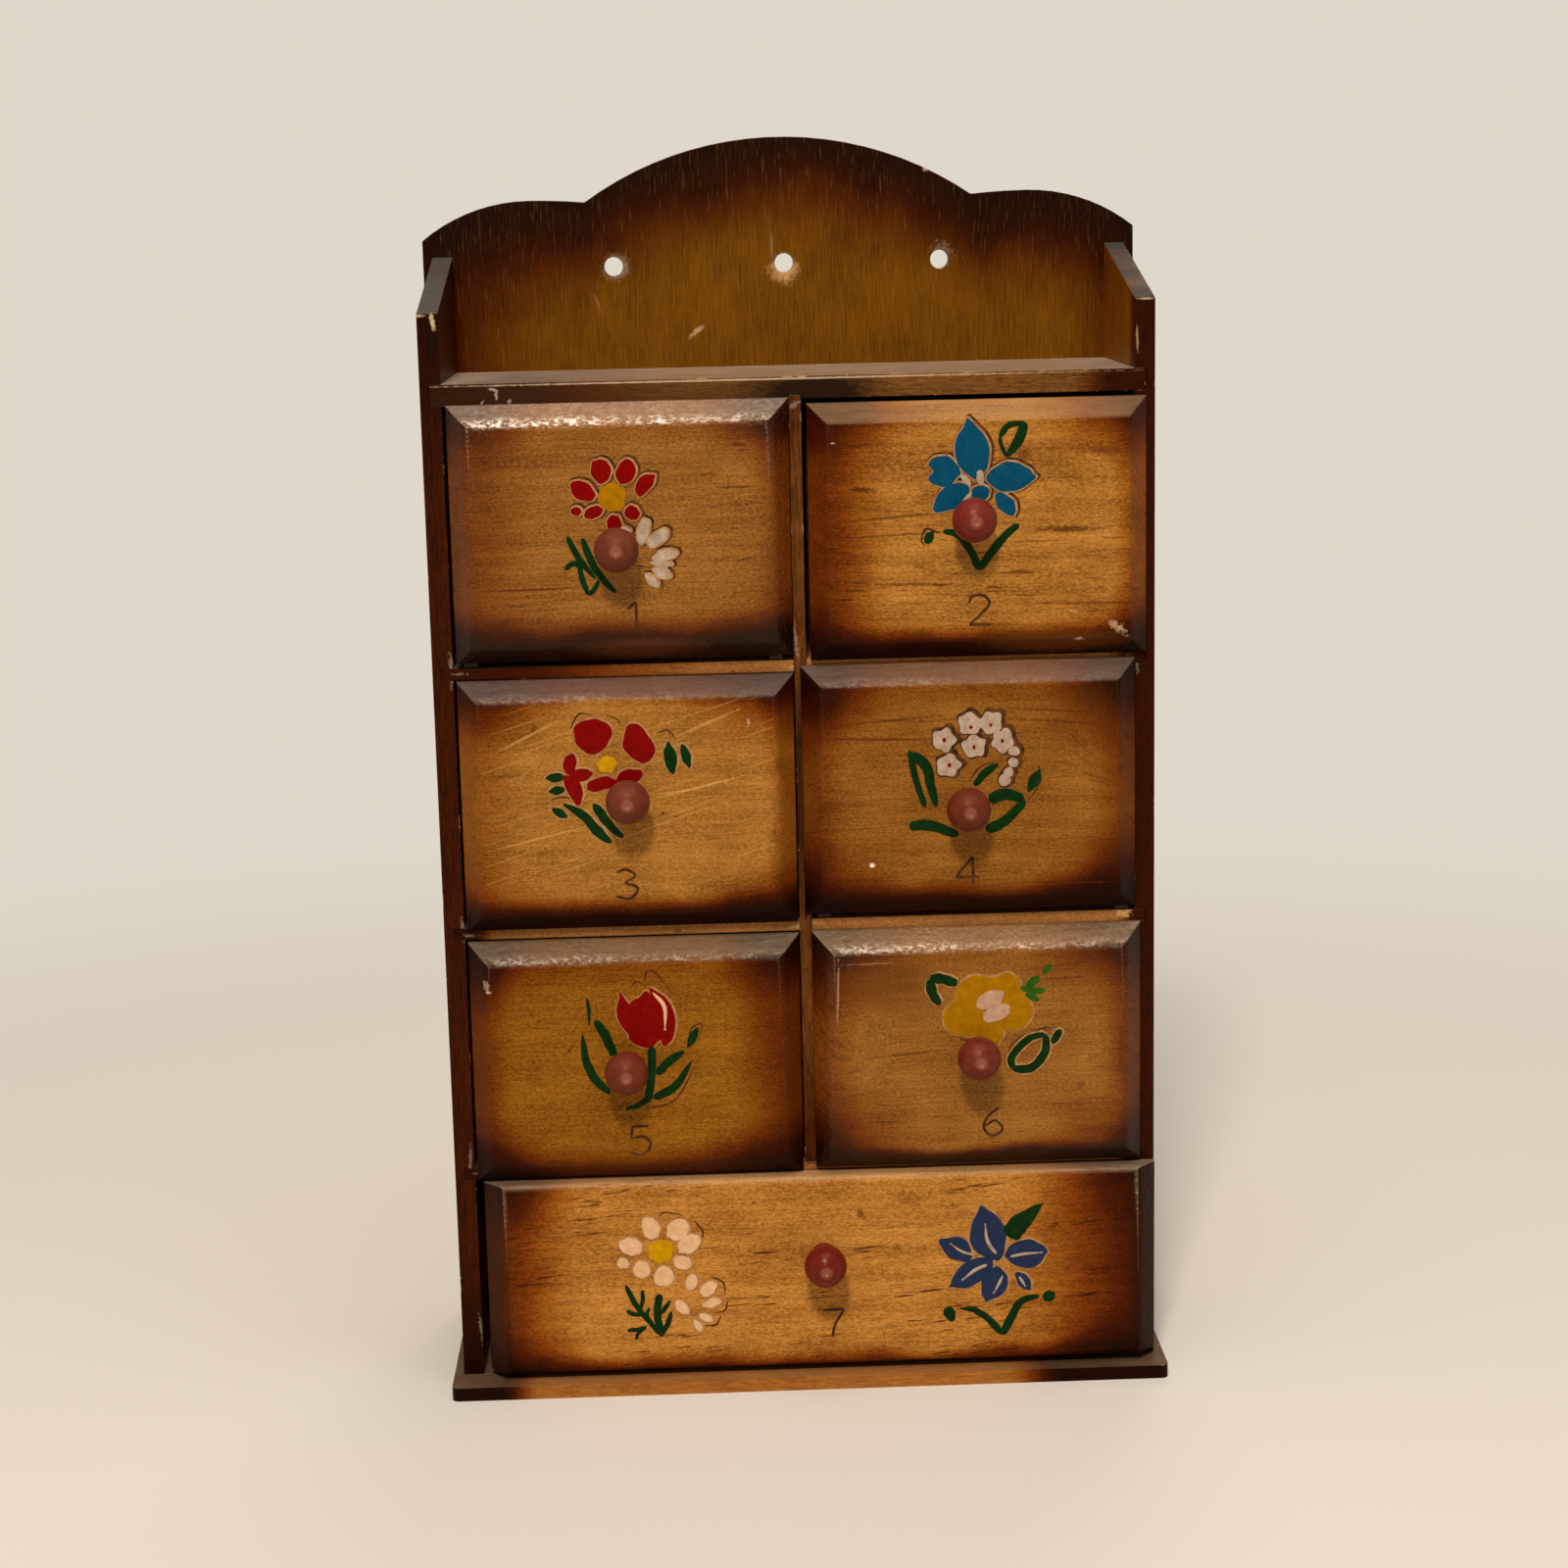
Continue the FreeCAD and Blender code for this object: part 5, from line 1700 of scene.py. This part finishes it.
                Stroke(((-25, 30.2), (-21.8, 28.4), (-21.4, 24.8)), 0.5, 0.4),
                Stroke(((-20.8, 23.6), (-21.6, 21), (-24.4, 20.4)), 0.5, 0.4),
                Stroke(((-22.6, 19.6), (-24, 17.2), (-27.2, 17)), 0.5, 0.4)),
            over=Tone.WHITE, number=7, number_at=(6.1, 16.6))]


# ---- Studio ----------------------------------------------------------------------------

@dataclass
class Studio:
    """A pale floor and surround, soft light from above and in front, and the camera."""

    camera_place: Vector = field(default_factory=lambda: Vector((-23.2, -712.0, 294.9)))
    yaw: float = math.radians(-1.599)
    pitch: float = math.radians(-11.045)
    roll: float = math.radians(1.300)
    lens: float = 67.16
    sensor: float = 36.0
    floor_colour: str = "#e4e0d7"
    surround: str = "#dfd8ca"
    fill: str = "#897f71"          # the surround's own light, far dimmer than it looks
    floor_radius: float = 12.0
    fade: tuple[float, float] = (0.24, 0.75)  # where the floor turns into the surround

    def looked_at(self, sheet: Sheet) -> Value:
        """Tell the rays that show the surround: the camera's, and those of gloss and glass.

        Args:
            sheet: The material's sheet.

        Returns:
            1 for those rays and 0 for the rest.
        """
        rays = [sheet.add("LightPath", out=f"Is {kind} Ray") for kind in ("Camera", "Glossy",
                                                                          "Transmission")]
        either = sheet.add("Math MAXIMUM", rays[0], rays[1])
        return sheet.add("Math MAXIMUM", either, rays[2])

    def paper(self) -> bpy.types.Material:
        """Matt paper that takes the cabinet's shadow and pales into the surround.

        Returns:
            The material.
        """
        sheet = Sheet("studio_paper")
        away = sheet.add("VectorMath LENGTH", sheet.add("TexCoord", out="Object"), out=1)
        far = sheet.add("MapRange SMOOTHSTEP", away, *self.fade)
        far = sheet.add("Math MULTIPLY", far, self.looked_at(sheet))
        near = sheet.add("BsdfPrincipled", Base_Color=self.floor_colour, Roughness=0.9)
        glow = sheet.add("Emission", self.surround, 1.0)
        return sheet.finish(sheet.add("MixShader", far, near, glow))

    def floor(self) -> None:
        """Lay the round floor."""
        mesh = bmesh.new()
        bmesh.ops.create_circle(mesh, cap_ends=True, radius=self.floor_radius, segments=96)
        data = bpy.data.meshes.new("floor")
        mesh.to_mesh(data)
        mesh.free()
        data.materials.append(self.paper())
        floor = bpy.data.objects.new("floor", data)
        bpy.context.scene.collection.objects.link(floor)

    def world(self) -> None:
        """Surround everything with even pale light."""
        sheet = Sheet("surround", bpy.data.worlds)
        colour = sheet.add("MixRGB", self.looked_at(sheet), self.fill, self.surround)
        sheet.add("OutputWorld", sheet.add("Background", colour, 1.0))
        bpy.context.scene.world = sheet.material

    def lamp(self, name: str, place: Vector, target: Vector, size: tuple[float, float],
             power: float, colour: str) -> None:
        """Hang one soft rectangular lamp.

        Args:
            name: The lamp's name.
            place: Where it hangs, in metres.
            target: What it is turned to.
            size: Its width and height in metres.
            power: Its power in watts.
            colour: Its colour.
        """
        data = bpy.data.lights.new(name, "AREA")
        data.shape = "RECTANGLE"
        data.size, data.size_y = size
        data.energy = power
        data.color = srgb(colour)[:3]
        lamp = bpy.data.objects.new(name, data)
        lamp.location = place
        lamp.rotation_euler = (target - place).to_track_quat("-Z", "Y").to_euler()
        bpy.context.scene.collection.objects.link(lamp)

    def camera(self) -> None:
        """Place the camera in front, a little above and to the left."""
        data = bpy.data.cameras.new("camera")
        data.lens, data.sensor_width = self.lens, self.sensor
        data.clip_start, data.clip_end = 0.01, 20.0
        camera = bpy.data.objects.new("camera", data)
        turn = (Matrix.Rotation(self.yaw, 4, "Z") @ Matrix.Rotation(self.pitch, 4, "X")
                @ Matrix.Rotation(self.roll, 4, "Y") @ Matrix.Rotation(math.pi / 2, 4, "X"))
        camera.matrix_world = Matrix.Translation(self.camera_place * MM) @ turn
        bpy.context.scene.collection.objects.link(camera)
        bpy.context.scene.camera = camera

    def build(self) -> None:
        """Set up the floor, the lamps, the surround and the camera."""
        self.floor()
        self.world()
        middle = Vector((0.0, 0.0, 0.16))
        self.lamp("key", Vector((-0.12, -0.95, 1.15)), middle, (0.18, 0.18), 13.6, "#fff4e4")
        self.lamp("overhead", Vector((0.05, -0.28, 1.35)), Vector((0.0, -0.05, 0.2)),
                  (0.9, 0.7), 5.0, "#f6f4ff")
        self.lamp("rear", Vector((0.35, 1.5, 1.1)), middle, (0.9, 0.7), 7.0, "#fff4e4")
        bpy.context.scene.view_settings.view_transform = "Standard"
        self.camera()


def fronts() -> list[DrawerFront]:
    """Set out the seven drawer fronts with what sets each apart.

    Returns:
        The fronts.
    """
    # the pale colour named here marks chips and rubbed lacquer; its thin marks along a shoulder or at a
    # bevel's top corner are painted glints
    streak, scuff_and_glint, gold = "#4f2208", "#c7a27a", "#d9a55c"
    return [
        DrawerFront("upper_left_drawer", 1.9, FrontFinish(Figure(seed=1.3, rings=0.2, dashes=0.25),
            Shading(Shade(0.42, 2, 26), Shade(0.46, 3, 12), Shade(0.98, 4, 14), Shade(0.2, 4, 12),
                    corners=0.8, seed=1),
            "#aa722e", "#5e340a", peel=0.8, gloss=(0.13, 0.26), dust_and_sheen=0.38, dust_and_sheen_colour="#b09a84",
            scuff_and_glint=1.4, specular=0.3, marks=(
                Mark(-37, 191.6, 30, 5.4, "#54290a", 0, 0.7, 0.25),
                Mark(-63, 206.7, 24, 0.6, "#5c1c0a", 1, 0.95, 0.1),
                Mark(-12.5, 240.5, 4.6, 0.8, streak, -3), Mark(-11.5, 239.2, 3.4, 0.6, streak, 4, 0.7),
                Mark(-20.5, 233.6, 7, 0.6, streak, 0, 0.7), Mark(-13.5, 230.3, 9.5, 0.65, streak, 0, 0.75),
                Mark(-11.8, 212.8, 4.4, 0.6, streak, 10, 0.7), Mark(-67, 202.8, 6, 0.6, streak, 0, 0.5)))),
        DrawerFront("upper_right_drawer", 0.7, FrontFinish(
            Figure(seed=2.1, rings=0.42, dashes=0.75, dash_size=(9, 0.6), ring_gap=5.5, bands=0.8),
            Shading(Shade(0.6, 3, 23), Shade(0.42, 3, 11), Shade(0.98, 2.5, 11), Shade(0.08, 2, 6),
                    corners=0.78, corner_reach=(32, 18), seed=2),
            "#c68a3e", "#774714", gloss=(0.26, 0.4), dust_and_sheen=0.42, dust_and_sheen_colour="#a3845f",
            marks=(
                Mark(64, 190.6, 36, 6, "#5c300c", 0, 0.75, 0.25),
                Mark(24, 222, 24, 0.8, streak, 4, 0.65, 0.4),
                Mark(22, 217.6, 30, 0.7, streak, 2, 0.6, 0.4),
                Mark(72, 200, 30, 0.8, streak, -1, 0.6, 0.4),
                Mark(30, 205.6, 22, 0.8, streak, -2, 0.6, 0.4),
                Mark(76.5, 237, 11, 2.2, "#6a3210", 0, 0.75), Mark(15, 239.6, 13, 0.9, streak, 0, 0.75),
                Mark(17.5, 228.8, 7, 1.5, streak, -6, 0.9), Mark(66, 218.2, 17, 1.5, streak, -2),
                Mark(56.3, 236.3, 4.4, 3.4, "#6b3510", 0, 0.75, 0.5),
                Mark(79, 193.8, 5, 1.6, scuff_and_glint, -35, 0.7, 0.9), Mark(69.5, 191.2, 2.6, 0.8, scuff_and_glint, 0, 0.6),
                Mark(68, 198, 2.2, 0.5, scuff_and_glint, -20, 0.6), Mark(10, 240.2, 1, 0.5, scuff_and_glint)))),
        DrawerFront("middle_left_drawer", 1.5, FrontFinish(Figure(seed=3.7, rings=0.12, dashes=0.2),
            Shading(Shade(0.3, 3, 18), Shade(0.32, 3, 9), Shade(0.97, 3.5, 11), Shade(0.5, 2, 7),
                    corners=0.72, corner_reach=(34, 20), seed=3),
            "#bd843c", "#764613", scratch=0.33, dust_and_sheen=0.62, dust_and_sheen_colour="#74655c", scuff_and_glint=0.15,
            marks=(
                Mark(-64.5, 172.2, 1.6, 2.6, "#5a2a0c", 0, 0.7, 0.8),
                Mark(-33.5, 150.6, 1, 0.8, "#4a1d08", 0, 0.8, 0.3),
                Mark(-11.8, 172.8, 0.7, 2, scuff_and_glint, 0, 0.7), Mark(-70.5, 160.9, 16, 0.6, streak, 0, 0.5),
                Mark(-31, 155.8, 12, 0.5, gold, 5, 0.5), Mark(-24, 157, 24, 0.6, gold, 13, 0.6, 0.4),
                Mark(-63.5, 145.2, 24, 0.6, gold, 13, 0.45, 0.4),
                Mark(-66, 170.6, 18, 0.8, gold, 26, 0.45, 0.5),
                Mark(-22, 172.8, 18, 0.8, gold, 22, 0.45, 0.5)))),
        DrawerFront("middle_right_drawer", 0.9, FrontFinish(
            Figure(seed=4.9, rings=0.5, dashes=0.35, ring_gap=6.5, wander=1.1, knot=(42, 14, 22)),
            Shading(Shade(0.34, 3, 12), Shade(0.4, 3, 15), Shade(0.94, 2.5, 12), Shade(0.25, 3, 12),
                    corners=0.92, corner_reach=(28, 26), seed=4),
            "#a76e2b", "#62370b", peel=0.4, dust_and_sheen_colour="#8d7668", scuff_and_glint=0.12,
            marks=(
                Mark(68, 172, 24, 17, "#63380e", 0, 0.34, 0.4),
                Mark(17.9, 135.9, 1.5, 1.3, "#f0dcc8", 0, 1, 0.2),
                Mark(79.8, 158.9, 2.8, 2.8, "#5a2410", 0, 0.8, 0.4),
                Mark(18, 167.6, 30, 0.8, streak, -2, 0.75, 0.4),
                Mark(24, 172.2, 22, 0.8, streak, 4, 0.7, 0.5),
                Mark(61, 173.8, 24, 0.7, streak, -5, 0.6, 0.5),
                Mark(63.5, 170.9, 26, 0.7, streak, -5, 0.6, 0.5),
                Mark(66, 130.2, 24, 0.7, streak, -1, 0.65, 0.4),
                Mark(20, 129.6, 16, 0.9, streak, -2, 0.6, 0.4)))),
        DrawerFront("lower_left_drawer", 1.7, FrontFinish(
            Figure(seed=5.2, rings=0.1, dashes=0.15, bands=0.35),
            Shading(Shade(0.46, 3, 13), Shade(0.52, 3, 20), Shade(0.63, 2, 12), Shade(0.3, 3, 12),
                    corners=0.92, corner_reach=(28, 20), seed=5),
            "#a76c1c", "#623705", peel=0.7, dust_and_sheen=0.66, dust_and_sheen_colour="#84715a", scuff_and_glint=0.45,
            marks=(
                Mark(-78.6, 107.8, 1.4, 3, "#c9ad8c", 10, 0.5, 0.9),
                Mark(-78.2, 106.2, 1.6, 0.7, "#e0cdb8", 0, 0.6, 0.4),
                Mark(-58.5, 91, 2.6, 0.7, streak, 50, 0.7), Mark(-46, 76, 3.6, 0.6, streak, 10, 0.6),
                Mark(-38.6, 70.4, 2.6, 2.6, "#7c3f0c", 0, 0.5, 0.5)))),
        DrawerFront("lower_right_drawer", 1.9, FrontFinish(
            Figure(seed=6.4, rings=0.4, dashes=0.45, dash_size=(7, 0.55), ring_gap=6, slope=0.06,
                   knot=(-34, 0, 15)),
            Shading(Shade(0.4, 2, 14), Shade(0.5, 3, 12), Shade(0.93, 3, 8.5), Shade(0.22, 3, 14),
                    corners=0.92, corner_reach=(32, 26), seed=6),
            "#b1772f", "#683c0d", peel=0.8, gloss=(0.14, 0.28), dust_and_sheen_colour="#a88c6c", scuff_and_glint=0.8,
            specular=0.26, marks=(
                # these two thin pale lines along the left and top shoulders are painted glints
                Mark(8.8, 103.4, 0.6, 17, scuff_and_glint, -2, 0.5, 0.4),
                Mark(17, 110.8, 13, 0.6, scuff_and_glint, 1, 0.35, 0.7),
                Mark(26, 87.2, 20, 0.8, streak, 5, 0.6, 0.4),
                Mark(66, 105.8, 12, 0.7, streak, 2, 0.6, 0.4),
                Mark(20, 69.6, 12, 0.7, streak, 0, 0.55, 0.4),
                Mark(69.5, 77.8, 1.8, 3, "#6b3a10", 10, 0.6, 0.5),
                Mark(23, 104, 30, 17, "#63380e", -6, 0.42, 0.4)))),
        DrawerFront("wide_drawer", 1.8, FrontFinish(
            Figure(seed=7.6, dashes=1, dash_size=(8, 0.55), wander=1.6, slope=0.1, bands=0.8),
            Shading(Shade(0.66, 4, 26), Shade(0.8, 3, 45), Shade(0.7, 1, 6), corners=0.85,
                    corner_reach=(32, 15), seed=7),
            "#d79745", "#885018", peel=0.6, dust_and_sheen=0.4, dust_and_sheen_colour="#c4a888", scuff_and_glint=0.35,
            marks=(
                Mark(-80, 30, 8, 120, "#2a1206", 0, 0.72, 0.05),
                Mark(87.4, 30, 11, 120, "#200c04", 0, 0.8, 0.05), Mark(-13.5, 49.4, 1.2, 0.7, "#3a1606"),
                Mark(13.5, 45.6, 2, 2.6, streak, 30, 0.7), Mark(36.8, 47.2, 1.2, 0.9, "#3a1606"),
                Mark(63, 41, 2.2, 1.6, "#4a1d08", 10), Mark(22.5, 36.2, 2.6, 2, "#7a4a18", 0, 0.7),
                Mark(-53, 50.6, 3, 2.4, "#7a4a18", 0, 0.5),
                Mark(76.5, 12.8, 11, 0.9, "#2a0f05", 12, 0.7, 0.4))))]


def knobs() -> list[Knob]:
    """Set out the seven knobs, whose paint has worn differently.

    Returns:
        The knobs.
    """
    return [Knob("upper_left_drawer", "#5e2516", "#6f3624", 0.5, 1.0),
            Knob("upper_right_drawer", "#671812", "#75291f", 0.36, 2.0),
            Knob("middle_left_drawer", "#602618", "#713727", 0.46, 3.0),
            Knob("middle_right_drawer", "#5b1e10", "#6b2f1c", 0.46, 4.0),
            Knob("lower_left_drawer", "#622114", "#723123", 0.44, 5.0),
            Knob("lower_right_drawer", "#60170f", "#783a2b", 0.40, 6.0),
            Knob("wide_drawer", "#610d0b", "#711b16", 0.26, 7.0)]


def main() -> None:
    """Build the sub-assemblies in order and report each piece."""
    logging.basicConfig(level=logging.INFO, format="%(name)s: %(message)s")
    Studio().build()
    Case().build()
    walls = BareSoftwood("bare_pine_across", Grain.ACROSS).material()
    sides = BareSoftwood("bare_pine_inward", Grain.INWARD).material()
    brass = SmallMetal("tarnished_brass", "#c9a25c", "#7a5a2c", 0.38).material()
    for front, knob in zip(fronts(), knobs()):
        front.build()
        knob.build()
        DrawerBox(front.drawer, walls, sides, brass).build()
    for posy in posies():
        posy.build()


if __name__ == "__main__":
    main()
